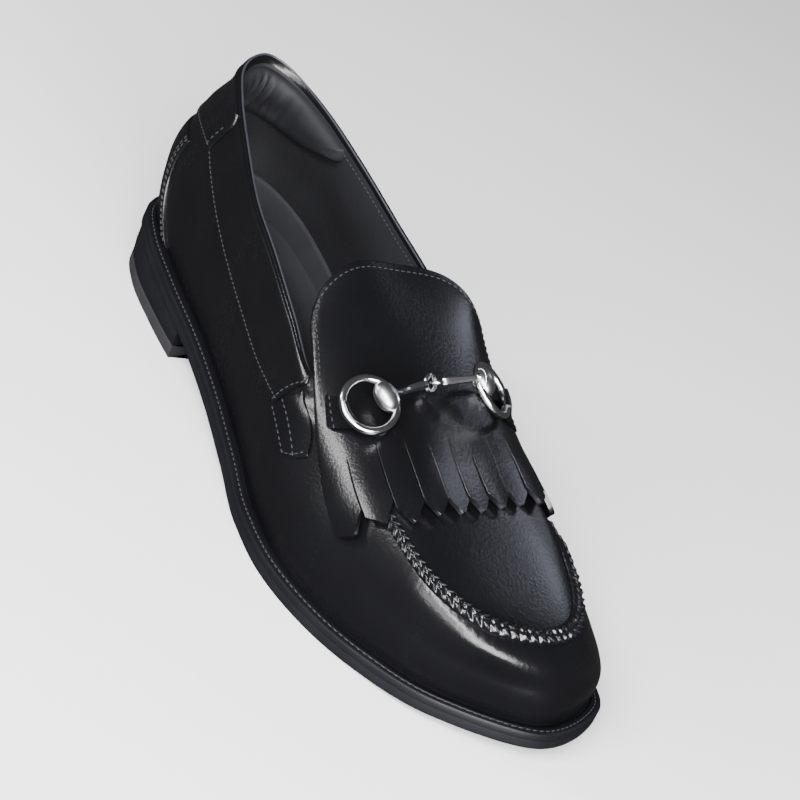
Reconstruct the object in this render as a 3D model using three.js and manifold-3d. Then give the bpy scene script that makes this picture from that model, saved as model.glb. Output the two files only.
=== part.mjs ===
// A man's kiltie bit loafer, right shoe, in millimetres.
// X runs from the heel to the toe, +Y is the medial side and Z is up.
// Build with Node and the packages three and manifold-3d.
import * as THREE from 'three';
import { mergeVertices } from 'three/addons/utils/BufferGeometryUtils.js';
import Module from 'manifold-3d';

const wasm = await Module();
wasm.setup();

// Driving dimensions of the last
const LENGTH = 300;          // outsole, heel to toe
const BALL_WIDTH = 104;      // outsole across the ball
const HEEL_HEIGHT = 18;      // floor to the underside of the outsole at the back
const TOE_SPRING = 5;        // underside of the outsole over the floor at the tip
const COLLAR_RISE = 66.4;    // topline over the feather line at the back
const INSTEP_RISE = 64.8;    // throat over the feather line
const APRON_RISE = 29.1;     // apron seam over the feather line at the tip
const TONGUE_BACK = 30;      // reach of the surface behind the throat
const TONGUE_UP = 14;        // rise of the surface above the throat
const TONGUE_LATERAL = 0.82; // half widths there as shares of the throat's
const TONGUE_MEDIAL = 0.95;

// Bottom
const OUTSOLE_THICKNESS = 3.6;
const WELT_THICKNESS = 2.4;
const WELT_WIDTH = 4.5;      // ledge outside the upper
const WELT_SETBACK = 0.5;    // welt edge inside the outsole edge
const INSOLE_THICKNESS = 3.6;
const TOP_LIFT = 5;
const HEEL_SETBACK = 0.6;    // heel stack inside the outsole edge
const HEEL_TAPER = 1.2;      // further inset of the heel at the floor
const BREAST_X = 76;         // middle of the heel breast
const BREAST_RADIUS = 85;    // hollow of the heel breast

// Leather
const UPPER_WALL = 1.8;
const OVERLAY = 1.2;         // thickness of counter, bands and tabs
const OVERLAY_GAP = 0.55;    // between the overlays and the upper
const KILTIE = 1.6;
const KILTIE_GAP = 0.95;     // between the kiltie and the upper
const TONGUE_THICKNESS = 2;
const CLEARANCE = 0.3;       // between curved pieces
const SEAM_WIDTH = 5.4;
const SEAM_HEIGHT = 2.2;
const HEEL_SEAM_WIDTH = 17;
const HEEL_SEAM_HEIGHT = 3.6;
const BIT_TAB_WIDTH = 13;
const BIT_TAB_SETBACK = { lateral: 8, medial: 1 };   // behind the place of the ring
const STRIPS = 10;
const SLIT = 0.5;            // gap between neighbouring strips of the fringe
const TIP_POINT = 7;         // length of the point of a strip

// Bit
const RING_DIAMETER = 22;
const RING_WIRE = 2.6;
const DOME_LENGTH = 10.8;     // across the bar
const DOME_WIDTH = 8;
const DOME_HEIGHT = 6.2;
const DOME_SEAT = 2.8;         // middle of the dome inside the middle of the wire
const BAR_RADIUS = 1.5;
const LOOP_DIAMETER = 6.8;
const LOOP_WIRE = 1.6;

// Sections round the last, from the back of the heel to the tip of the toe.
// along: share of the length. Widths are shares of the ball width from the middle line.
// rise columns are shares of COLLAR_RISE, APRON_RISE and INSTEP_RISE over the feather line.
const SECTIONS = [
  { foot: 0.000, footLat: -0.008, footMed: 0.008, bulge: 2.2,
    seam: 0.004, seamLat: -0.008, seamMed: 0.008, seamCollar: 0.473, seamApron: 0,
    top: 0.030, topLat: -0.005, topMed: 0.005, topCollar: 1.000, topInstep: 0 },
  { foot: 0.035, footLat: 0.200, footMed: 0.217, bulge: 2.0,
    seam: 0.028, seamLat: 0.185, seamMed: 0.198, seamCollar: 0.446, seamApron: 0,
    top: 0.055, topLat: 0.120, topMed: 0.125, topCollar: 0.968, topInstep: 0 },
  { foot: 0.110, footLat: 0.295, footMed: 0.310, bulge: 1.6,
    seam: 0.103, seamLat: 0.272, seamMed: 0.285, seamCollar: 0.420, seamApron: 0,
    top: 0.117, topLat: 0.197, topMed: 0.197, topCollar: 0.928, topInstep: 0 },
  { foot: 0.210, footLat: 0.336, footMed: 0.322, bulge: 1.3,
    seam: 0.203, seamLat: 0.315, seamMed: 0.303, seamCollar: 0.400, seamApron: 0,
    top: 0.207, topLat: 0.264, topMed: 0.250, topCollar: 0.873, topInstep: 0 },
  { foot: 0.310, footLat: 0.355, footMed: 0.289, bulge: 1.2,
    seam: 0.303, seamLat: 0.344, seamMed: 0.290, seamCollar: 0.392, seamApron: 0,
    top: 0.300, topLat: 0.322, topMed: 0.284, topCollar: 0.827, topInstep: 0 },
  { foot: 0.410, footLat: 0.386, footMed: 0.271, bulge: 1.2,
    seam: 0.403, seamLat: 0.380, seamMed: 0.288, seamCollar: 0.416, seamApron: 0,
    top: 0.393, topLat: 0.358, topMed: 0.298, topCollar: 0.818, topInstep: 0 },
  { foot: 0.510, footLat: 0.429, footMed: 0.292, bulge: 1.5,
    seam: 0.503, seamLat: 0.415, seamMed: 0.303, seamCollar: 0.465, seamApron: 0,
    top: 0.487, topLat: 0.383, topMed: 0.303, topCollar: 0.790, topInstep: 0 },
  { foot: 0.610, footLat: 0.488, footMed: 0.374, bulge: 2.0,
    seam: 0.607, seamLat: 0.433, seamMed: 0.332, seamCollar: 0.280, seamApron: 0.630,
    top: 0.573, topLat: 0.389, topMed: 0.312, topCollar: 0.370, topInstep: 0.375 },
  { foot: 0.700, footLat: 0.513, footMed: 0.462, bulge: 2.4,
    seam: 0.707, seamLat: 0.371, seamMed: 0.300, seamCollar: 0, seamApron: 1.457,
    top: 0.573, topLat: 0.298, topMed: 0.285, topCollar: 0, topInstep: 0.870 },
  { foot: 0.790, footLat: 0.469, footMed: 0.512, bulge: 2.6,
    seam: 0.797, seamLat: 0.356, seamMed: 0.291, seamCollar: 0, seamApron: 1.368,
    top: 0.547, topLat: 0.192, topMed: 0.205, topCollar: 0, topInstep: 0.940 },
  { foot: 0.870, footLat: 0.375, footMed: 0.513, bulge: 2.8,
    seam: 0.877, seamLat: 0.311, seamMed: 0.258, seamCollar: 0, seamApron: 1.186,
    top: 0.527, topLat: 0.110, topMed: 0.106, topCollar: 0, topInstep: 0.981 },
  { foot: 0.945, footLat: 0.216, footMed: 0.418, bulge: 3.0,
    seam: 0.932, seamLat: 0.185, seamMed: 0.170, seamCollar: 0, seamApron: 1.045,
    top: 0.518, topLat: 0.038, topMed: 0.053, topCollar: 0, topInstep: 0.997 },
  { foot: 1.000, footLat: -0.101, footMed: 0.101, bulge: 3.0,
    seam: 0.950, seamLat: -0.008, seamMed: 0.008, seamCollar: 0, seamApron: 1.000,
    top: 0.517, topLat: -0.010, topMed: 0.010, topCollar: 0, topInstep: 1.000 },
];

// Underside of the outsole: height as a share of HEEL_HEIGHT up to the tread, flat
// on the tread, and a share of TOE_SPRING beyond it.
const PROFILE = [
  { along: 0.00, heel: 1.00, toe: 0 },
  { along: 0.11, heel: 0.91, toe: 0 },
  { along: 0.21, heel: 0.78, toe: 0 },
  { along: 0.31, heel: 0.62, toe: 0 },
  { along: 0.41, heel: 0.42, toe: 0 },
  { along: 0.51, heel: 0.17, toe: 0 },
  { along: 0.61, heel: 0.00, toe: 0 },
  { along: 0.76, heel: 0.00, toe: 0 },
  { along: 0.87, heel: 0.00, toe: 0.22 },
  { along: 0.945, heel: 0.00, toe: 0.60 },
  { along: 1.00, heel: 0.00, toe: 1.00 },
];

const HALF = SECTIONS.length - 1;    // sections between the heel and the tip
const ROUND = 2 * HALF;              // sections all round

function mod(i, n) {
  return ((i % n) + n) % n;
}

// Monotone cubic through the rows of PROFILE
function profileColumn(column, along) {
  const x = PROFILE.map((row) => row.along);
  const y = PROFILE.map((row) => row[column]);
  const s = Math.min(Math.max(along, 0), 1);
  let k = x.findIndex((value) => value > s) - 1;
  if (k < 0) k = x.length - 2;
  const secant = (i) => (y[i + 1] - y[i]) / (x[i + 1] - x[i]);
  const slope = (i) => {
    if (i === 0) return secant(0);
    if (i === x.length - 1) return secant(i - 1);
    const a = secant(i - 1);
    const b = secant(i);
    return a * b <= 0 ? 0 : (2 * a * b) / (a + b);
  };
  const h = x[k + 1] - x[k];
  const q = (s - x[k]) / h;
  const q2 = q * q;
  const q3 = q2 * q;
  return y[k] * (2 * q3 - 3 * q2 + 1) + slope(k) * h * (q3 - 2 * q2 + q)
    + y[k + 1] * (3 * q2 - 2 * q3) + slope(k + 1) * h * (q3 - q2);
}

function soleHeight(x) {
  const along = x / LENGTH;
  return HEEL_HEIGHT * profileColumn('heel', along) + TOE_SPRING * profileColumn('toe', along);
}

const FEATHER = OUTSOLE_THICKNESS + WELT_THICKNESS + 2 * CLEARANCE;

function featherHeight(x) {
  return soleHeight(x) + FEATHER;
}

// Uniform Catmull-Rom blend of four vectors
function blend(a, b, c, d, q) {
  const q2 = q * q;
  const q3 = q2 * q;
  const w = [(-q + 2 * q2 - q3) / 2, (2 - 5 * q2 + 3 * q3) / 2, (q + 4 * q2 - 3 * q3) / 2, (q3 - q2) / 2];
  return new THREE.Vector3().addScaledVector(a, w[0]).addScaledVector(b, w[1])
    .addScaledVector(c, w[2]).addScaledVector(d, w[3]);
}

// A closed loop through one point for each section all round
function aroundLoop(points) {
  return (r) => {
    const k = Math.floor(r);
    const p = (i) => points[mod(k + i, points.length)];
    return blend(p(-1), p(0), p(1), p(2), r - k);
  };
}

// One point for each section all round, lateral side first
function ringOf(make) {
  return Array.from({ length: ROUND }, (_, k) => {
    const lateral = k <= HALF;
    const row = SECTIONS[lateral ? k : ROUND - k];
    return make(row, lateral ? 'Lat' : 'Med', lateral ? -1 : 1);
  });
}

const outline = aroundLoop(ringOf((row, side, sign) => new THREE.Vector3(
  row.foot * LENGTH, sign * row[`foot${side}`] * BALL_WIDTH, 0)));

// The outline moved inwards by d, in plan
function inset(r, d) {
  const p = outline(r);
  const step = 0.02;
  const t = outline(r + step).sub(outline(r - step)).normalize();
  return new THREE.Vector3(p.x - t.y * d, p.y + t.x * d, 0);
}

function feather(r) {
  const p = inset(r, WELT_WIDTH);
  p.z = featherHeight(p.x);
  return p;
}

const featherRing = Array.from({ length: ROUND }, (_, k) => feather(k));
const seamRing = ringOf((row, side, sign) => {
  const x = row.seam * LENGTH;
  const rise = row.seamCollar * COLLAR_RISE + row.seamApron * APRON_RISE;
  return new THREE.Vector3(x, sign * row[`seam${side}`] * BALL_WIDTH, featherHeight(x) + rise);
});
const topRing = ringOf((row, side, sign) => {
  const x = row.top * LENGTH;
  const rise = row.topCollar * COLLAR_RISE + row.topInstep * INSTEP_RISE;
  return new THREE.Vector3(x, sign * row[`top${side}`] * BALL_WIDTH, featherHeight(x) + rise);
});
const WALL_RISE = 0.47;      // height of the fullest part of the wall, as a share up to the seam
const WALL_LEAN = 0.3;
const wallRing = featherRing.map((low, k) => {
  const high = seamRing[k];
  const row = SECTIONS[k <= HALF ? k : ROUND - k];
  const out = inset(k, WELT_WIDTH - row.bulge);
  return new THREE.Vector3(
    out.x + (high.x - low.x) * WALL_LEAN,
    out.y + (high.y - low.y) * WALL_LEAN,
    low.z + (high.z - low.z) * WALL_RISE);
});
const middleRing = seamRing.map((low, k) => low.clone().lerp(topRing[k], 0.5));
const beyondRing = topRing.map((p) => new THREE.Vector3(
  p.x - TONGUE_BACK, p.y * (p.y < 0 ? TONGUE_LATERAL : TONGUE_MEDIAL), p.z + TONGUE_UP));

// Levels of the upper: 0 feather line, 0.25 wall, 0.5 apron seam, 0.75 middle,
// 1 topline and 1.25 the end of the tongue
const LEVELS = [featherRing, wallRing, seamRing, middleRing, topRing, beyondRing].map(aroundLoop);
const LEVEL_STEP = 0.25;
const LAST_LEVEL = LEVEL_STEP * (LEVELS.length - 1);

function surface(r, v) {
  const q = Math.min(Math.max(v / LEVEL_STEP, 0), LEVELS.length - 1);
  const k = Math.min(Math.floor(q), LEVELS.length - 2);
  const level = (i) => {
    if (i < 0) return LEVELS[0](r).multiplyScalar(2).sub(LEVELS[1](r));
    if (i >= LEVELS.length) return LEVELS[i - 1](r).multiplyScalar(2).sub(LEVELS[i - 2](r));
    return LEVELS[i](r);
  };
  return blend(level(k - 1), level(k), level(k + 1), level(k + 2), q - k);
}

function slopes(r, v) {
  const h = 0.01;
  const level = Math.min(Math.max(v, h), LAST_LEVEL - h);
  return {
    along: surface(r + h, v).sub(surface(r - h, v)).divideScalar(2 * h),
    up: surface(r, level + h).sub(surface(r, level - h)).divideScalar(2 * h),
  };
}

function offsetPoint(r, v, d) {
  const s = slopes(r, v);
  const normal = s.along.cross(s.up).normalize();
  return surface(r, v).addScaledVector(normal, d);
}

// The level a distance d up the surface from v
function levelAt(r, v, d) {
  return v + d / slopes(r, v).up.length();
}

function geometryOf(points, triangles) {
  const geometry = new THREE.BufferGeometry();
  geometry.setAttribute('position', new THREE.Float32BufferAttribute(points.flatMap((p) => [p.x, p.y, p.z]), 3));
  geometry.setIndex(triangles);
  return geometry;
}

// A closed plate between two rings of an even number of points that start at the heel
function plate(low, high) {
  const n = low.length;
  const triangles = [];
  for (let k = 0; k < n; k += 1) {
    const j = (k + 1) % n;
    triangles.push(k, j, n + j, k, n + j, n + k);
  }
  for (let k = 0; k < n / 2; k += 1) {
    const a = k;
    const b = k + 1;
    const c = mod(n - k - 1, n);
    const d = mod(n - k, n);
    for (const [p, q, s] of [[a, b, c], [a, c, d]]) {
      if (p !== q && q !== s && p !== s) {
        triangles.push(p, s, q);
        triangles.push(n + p, n + q, n + s);
      }
    }
  }
  return geometryOf([...low, ...high], triangles);
}

const RING_POINTS = 72;

function insetRing(d, height) {
  return Array.from({ length: RING_POINTS }, (_, k) => {
    const p = inset((k * ROUND) / RING_POINTS, d);
    p.z = height(p.x);
    return p;
  });
}

// A closed frame between an outer and an inner ring
function frameRing(outer, inner, low, high) {
  const rings = [insetRing(outer, low), insetRing(outer, high), insetRing(inner, high), insetRing(inner, low)];
  const n = RING_POINTS;
  const triangles = [];
  for (let ring = 0; ring < rings.length; ring += 1) {
    const next = (ring + 1) % rings.length;
    for (let k = 0; k < n; k += 1) {
      const j = (k + 1) % n;
      triangles.push(ring * n + k, ring * n + j, next * n + j, ring * n + k, next * n + j, next * n + k);
    }
  }
  return geometryOf(rings.flat(), triangles);
}

// A closed slab on the upper's surface. place(u, w) gives the section and level for u and w
// from 0 to 1, and inner and outer give the offsets. round joins the ends in u.
function slab(across, upwards, place, inner, outer, round = false) {
  const columns = round ? across : across + 1;
  const rows = upwards + 1;
  const points = [];
  for (const offset of [outer, inner]) {
    for (let i = 0; i < columns; i += 1) {
      for (let j = 0; j < rows; j += 1) {
        const u = i / across;
        const w = j / upwards;
        const [r, v] = place(u, w);
        points.push(offsetPoint(r, v, offset(u, w, v)));
      }
    }
  }
  const at = (side, i, j) => side * columns * rows + mod(i, columns) * rows + j;
  const triangles = [];
  const quad = (a, b, c, d) => triangles.push(a, b, c, a, c, d);
  for (let i = 0; i < across; i += 1) {
    for (let j = 0; j < upwards; j += 1) {
      quad(at(0, i, j), at(0, i + 1, j), at(0, i + 1, j + 1), at(0, i, j + 1));
      quad(at(1, i, j), at(1, i, j + 1), at(1, i + 1, j + 1), at(1, i + 1, j));
    }
    quad(at(0, i, 0), at(1, i, 0), at(1, i + 1, 0), at(0, i + 1, 0));
    quad(at(0, i, upwards), at(0, i + 1, upwards), at(1, i + 1, upwards), at(1, i, upwards));
  }
  if (!round) {
    for (let j = 0; j < upwards; j += 1) {
      quad(at(0, 0, j), at(0, 0, j + 1), at(1, 0, j + 1), at(1, 0, j));
      quad(at(0, across, j), at(1, across, j), at(1, across, j + 1), at(0, across, j + 1));
    }
  }
  return geometryOf(points, triangles);
}

const even = (d) => () => d;

function toManifold(geometry) {
  const bare = geometry.clone();
  bare.deleteAttribute('normal');
  bare.deleteAttribute('uv');
  const merged = mergeVertices(bare, 1e-4);
  return new wasm.Manifold(new wasm.Mesh({
    numProp: 3,
    vertProperties: new Float32Array(merged.attributes.position.array),
    triVerts: new Uint32Array(merged.index.array),
  }));
}

function fromManifold(solid) {
  const mesh = solid.getMesh();
  const geometry = new THREE.BufferGeometry();
  geometry.setAttribute('position', new THREE.BufferAttribute(new Float32Array(mesh.vertProperties), 3));
  geometry.setIndex(new THREE.BufferAttribute(new Uint32Array(mesh.triVerts), 1));
  return geometry;
}

// The parts of the heel in front of its hollow breast are cut away
function cutBreast(geometry) {
  const height = 4 * HEEL_HEIGHT;
  const hollow = new THREE.CylinderGeometry(BREAST_RADIUS, BREAST_RADIUS, height, 96);
  hollow.rotateX(Math.PI / 2);
  hollow.translate(BREAST_X + BREAST_RADIUS, 0, 0);
  const front = new THREE.BoxGeometry(LENGTH, 2 * BALL_WIDTH, height);
  front.translate(BREAST_X + BREAST_RADIUS * 0.25 + LENGTH / 2, 0, 0);
  return fromManifold(toManifold(geometry).subtract(toManifold(hollow)).subtract(toManifold(front)));
}

const LEATHER = 0x17171a;
const leather = (color = LEATHER, roughness = 0.3) => new THREE.MeshStandardMaterial({ color, roughness });
const soleEdge = (color, roughness) => new THREE.MeshStandardMaterial({ color, roughness });
const silver = () => new THREE.MeshStandardMaterial({ color: 0xb9bbbf, metalness: 1, roughness: 0.25 });

const shoe = new THREE.Group();

function add(name, geometry, material) {
  const mesh = new THREE.Mesh(geometry, material);
  mesh.name = name;
  shoe.add(mesh);
  return mesh;
}

function makeBottom() {
  const under = (x) => soleHeight(x);
  const over = (x) => soleHeight(x) + OUTSOLE_THICKNESS;
  add('outsole', plate(insetRing(0, under), insetRing(0, over)), soleEdge(0x25262b, 0.45));

  const weltLow = (x) => over(x) + CLEARANCE;
  const weltHigh = (x) => weltLow(x) + WELT_THICKNESS;
  const weltInner = WELT_WIDTH + UPPER_WALL + CLEARANCE;
  add('welt', frameRing(WELT_SETBACK, weltInner, weltLow, weltHigh), soleEdge(0x1c1d21, 0.4));

  const insoleEdge = weltInner + CLEARANCE;
  const insoleHigh = (x) => weltLow(x) + INSOLE_THICKNESS;
  add('insole', plate(insetRing(insoleEdge, weltLow), insetRing(insoleEdge, insoleHigh)), leather(0x303236, 0.7));

  const liftEdge = HEEL_SETBACK + HEEL_TAPER;
  const floor = () => 0;
  const liftHigh = () => TOP_LIFT;
  add('heel_top_lift', cutBreast(plate(insetRing(liftEdge, floor), insetRing(liftEdge, liftHigh))),
    soleEdge(0x141416, 0.6));
  const stackLow = () => TOP_LIFT + CLEARANCE;
  const stackHigh = (x) => Math.max(soleHeight(x) - CLEARANCE, TOP_LIFT + 2 * CLEARANCE);
  add('heel_stack', cutBreast(plate(insetRing(liftEdge, stackLow), insetRing(HEEL_SETBACK, stackHigh))),
    soleEdge(0x1b1b1f, 0.45));
}

function makeUpper() {
  const across = 66;
  const upwards = 12;
  const place = (u, w) => [u * ROUND, w];
  const geometry = slab(across, upwards, place, even(-UPPER_WALL), even(0), true);
  // The lower edge stands flat on the welt
  const position = geometry.attributes.position;
  const rows = upwards + 1;
  for (let k = 0; k < 2 * across; k += 1) {
    const low = k * rows;
    position.setZ(low, featherHeight(position.getX(low)));
  }
  add('upper', geometry, leather());
}

// A point of the surface by its distance x from the heel and by the arc, measured across the
// foot from the middle line, medial side positive
const WALK_STEPS = 14;

function walk(x, arc) {
  const middle = HALF;
  let r = middle;
  let v = 0.8;
  const settle = (fixed) => {
    const error = surface(r, v).x - x;
    const s = slopes(r, v);
    const size = fixed ? s.up.x ** 2 : s.along.x ** 2 + s.up.x ** 2;
    r -= fixed ? 0 : (error * s.along.x) / size;
    v = Math.min(Math.max(v - (error * s.up.x) / size, 0), LAST_LEVEL);
  };
  for (let k = 0; k < 6; k += 1) settle(true);
  for (let k = 0; k < WALK_STEPS; k += 1) {
    const s = slopes(r, v);
    const step = s.along.clone().multiplyScalar(s.up.x).addScaledVector(s.up, -s.along.x);
    const sign = Math.sign(step.y) * Math.sign(arc);
    const scale = (sign * Math.abs(arc)) / WALK_STEPS / step.length();
    r += s.up.x * scale;
    v -= s.along.x * scale;
    settle(false);
  }
  return [r, v];
}

// Outline of the kiltie: share of the length, and arcs from the middle line to its edges as
// shares of the ball width
const KILTIE_ROWS = [
  { along: 0.457, lateral: 0.337, medial: 0.300 },
  { along: 0.490, lateral: 0.357, medial: 0.315 },
  { along: 0.527, lateral: 0.382, medial: 0.325 },
  { along: 0.573, lateral: 0.411, medial: 0.325 },
  { along: 0.600, lateral: 0.425, medial: 0.325 },
  { along: 0.640, lateral: 0.455, medial: 0.327 },
  { along: 0.683, lateral: 0.490, medial: 0.332 },
  { along: 0.750, lateral: 0.512, medial: 0.340 },
  { along: 0.817, lateral: 0.529, medial: 0.346 },
];
const KILTIE_BACK = 0.457;
const KILTIE_CORNER = 0.08;

// Ends of the fringe, by the share across from the lateral side: share of the length
const FRINGE_ROWS = [
  { across: 0.00, root: 0.697, tip: 0.780 },
  { across: 0.12, root: 0.697, tip: 0.800 },
  { across: 0.25, root: 0.697, tip: 0.815 },
  { across: 0.50, root: 0.692, tip: 0.804 },
  { across: 0.75, root: 0.683, tip: 0.785 },
  { across: 1.00, root: 0.680, tip: 0.765 },
];

// A column of a table at a place between its rows
function between(rows, key, place, column) {
  const k = Math.min(Math.max(rows.findIndex((row) => row[key] > place), 1), rows.length - 1);
  const a = rows[k - 1];
  const b = rows[k];
  return a[column] + ((b[column] - a[column]) * (place - a[key])) / (b[key] - a[key]);
}

const kiltieEdge = (x, side) => BALL_WIDTH * between(KILTIE_ROWS, 'along', x / LENGTH, side);

// Place on the kiltie by its share u across, lateral side first, and by x
function kiltiePlace(u, x) {
  const lateral = -kiltieEdge(x, 'lateral');
  const medial = kiltieEdge(x, 'medial');
  return walk(x, lateral + (medial - lateral) * u);
}

const kiltieBack = (u) => LENGTH * (KILTIE_BACK + KILTIE_CORNER * (1 - (1 - Math.abs(2 * u - 1) ** 3.4) ** 0.5));
const fringeRoot = (u) => LENGTH * between(FRINGE_ROWS, 'across', u, 'root');
const fringeTip = (u) => LENGTH * between(FRINGE_ROWS, 'across', u, 'tip');

function makeKiltie() {
  const inner = KILTIE_GAP;
  const outer = KILTIE_GAP + KILTIE;
  const body = slab(23, 8, (u, w) => {
    const root = fringeRoot(u);
    return kiltiePlace(u, root + (kiltieBack(u) - root) * w);
  }, even(inner), even(outer));
  let solid = toManifold(body);
  const lap = 3;
  for (let k = 0; k < STRIPS; k += 1) {
    const middle = (k + 0.5) / STRIPS;
    const root = fringeRoot(middle) - lap;
    const strip = slab(2, 4, (u, w) => {
      const tip = fringeTip(middle) - TIP_POINT * Math.abs(2 * u - 1) * (1 - w);
      const x = tip + (root - tip) * w;
      const width = kiltieEdge(x, 'lateral') + kiltieEdge(x, 'medial');
      return kiltiePlace(middle + (u - 0.5) * (1 / STRIPS - SLIT / width), x);
    }, even(inner + 0.1), even(outer - 0.1));
    solid = solid.add(toManifold(strip));
  }
  add('kiltie', fromManifold(solid), leather());

  const under = KILTIE_GAP - 3 * CLEARANCE;
  const tuck = -UPPER_WALL - 1.5 * CLEARANCE;
  const tongueEnd = 0.633 * LENGTH;
  const tongueMargin = 3;
  const face = (u, w, v) => tuck + (under - tuck) * Math.min(Math.max((v - 1.05) / 0.1, 0), 1);
  add('tongue', slab(12, 9, (u, w) => {
    const side = 0.08 + 0.84 * u;
    const back = kiltieBack(side) + tongueMargin;
    return kiltiePlace(side, tongueEnd + (back - tongueEnd) * w);
  }, (u, w, v) => face(u, w, v) - TONGUE_THICKNESS, face), leather(0x222226, 0.55));
}

function makeApronSeam() {
  const lateralEnd = 9.35;
  const medialEnd = 14.7;
  add('apron_seam', slab(32, 4, (u, w) => {
    const r = lateralEnd + u * (medialEnd - lateralEnd);
    return [r, levelAt(r, 0.5, (w - 0.5) * SEAM_WIDTH)];
  }, even(CLEARANCE), (u, w) => CLEARANCE + 0.4 + (SEAM_HEIGHT - 0.4) * Math.sin(Math.PI * w)), leather());
}

// Overlays on the quarters
const COUNTER_TOP = 0.6;
const HEEL_SEAM_LOW = 0.25;
const TAB_END = 2.35;

const counterEdge = (v) => 1.75 + 0.8 * Math.max(1 - v / 0.35, 0) ** 2;
const backTabLow = (r) => 0.64 + 0.08 * (r / TAB_END) ** 2;
const bandLow = (r) => 0.72 - 0.27 * Math.max((r - TAB_END) / 4.15, 0) ** 0.8;

function makeOverlays() {
  const inner = even(OVERLAY_GAP);
  const outer = even(OVERLAY_GAP + OVERLAY);
  const seamHalf = HEEL_SEAM_WIDTH / 2;
  const seamSide = (v) => seamHalf / slopes(0, v).along.length();
  for (const [side, sign] of [['lateral', 1], ['medial', -1]]) {
    const flip = (u) => (sign > 0 ? u : 1 - u);
    add(`heel_counter_${side}`, slab(6, 6, (u, w) => {
      const v = 0.03 + (COUNTER_TOP - 0.03) * w;
      const near = seamSide(v) + 0.05;
      return [sign * (near + (counterEdge(v) - near) * flip(u)), v];
    }, inner, outer), leather());
    add(`collar_band_${side}`, slab(15, 4, (u, w) => {
      const lowEnd = 6.5;
      const highEnd = 7;
      const start = TAB_END + 0.04;
      const end = lowEnd + (highEnd - lowEnd) * w;
      const r = start + (end - start) * flip(u);
      const low = bandLow(r);
      return [sign * r, low + (0.985 - low) * w];
    }, inner, outer), leather());
    add(`side_tab_${side}`, slab(4, 4, (u, w) => {
      const q = flip(u);
      const start = 6.54 + 0.5 * w;
      const end = 7.25 + 0.35 * w - 0.2 * (2 * w - 1) ** 4;
      const lowV = 0.42 - 0.08 * q;
      const highV = 0.82 - 0.4 * q;
      return [sign * (start + (end - start) * q), lowV + (highV - lowV) * w];
    }, inner, outer), leather());
  }
  add('back_tab', slab(16, 4, (u, w) => {
    const r = (2 * u - 1) * TAB_END;
    const low = backTabLow(Math.abs(r));
    return [r, low + (0.99 - low) * w];
  }, inner, even(OVERLAY_GAP + OVERLAY + 0.3)), leather());
  add('heel_seam', slab(6, 9, (u, w) => {
    const v = HEEL_SEAM_LOW + (COUNTER_TOP - HEEL_SEAM_LOW) * w;
    return [(2 * u - 1) * seamSide(v), v];
  }, inner, (u, w) => OVERLAY_GAP + 0.6 + (HEEL_SEAM_HEIGHT - OVERLAY_GAP - 0.6) * Math.sin(Math.PI * u) * Math.sin(Math.PI * w) ** 0.5),
  leather());
}

// Places on the kiltie where the bit lies, as section and level
const RING_SEATS = { lateral: [8.54, 0.737], medial: [13.72, 0.841] };
const JOINT_SEAT = [11.08, 0.857];
const RING_TILT = { lateral: [0.3, 0], medial: [0.1, 0.3] };   // towards the toe and the inner side
const KILTIE_FACE = KILTIE_GAP + KILTIE;

function seatFrame(seat) {
  const [r, v] = seat;
  const s = slopes(r, v);
  const normal = s.along.clone().cross(s.up).normalize();
  return { point: surface(r, v), normal };
}

// A solid of revolution about the line from a to b
function spindle(a, b, profile, segments = 8) {
  const axis = b.clone().sub(a);
  const length = axis.length();
  const geometry = new THREE.LatheGeometry(
    profile.map(([along, radius]) => new THREE.Vector2(radius, along * length)), segments);
  const turn = new THREE.Quaternion().setFromUnitVectors(new THREE.Vector3(0, 1, 0), axis.normalize());
  geometry.applyQuaternion(turn);
  geometry.translate(a.x, a.y, a.z);
  return geometry;
}

function torusAt(point, normal, diameter, wire, around, tube) {
  const geometry = new THREE.TorusGeometry((diameter - wire) / 2, wire / 2, tube, around);
  const turn = new THREE.Quaternion().setFromUnitVectors(new THREE.Vector3(0, 0, 1), normal);
  geometry.applyQuaternion(turn);
  geometry.translate(point.x, point.y, point.z);
  return geometry;
}

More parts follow.
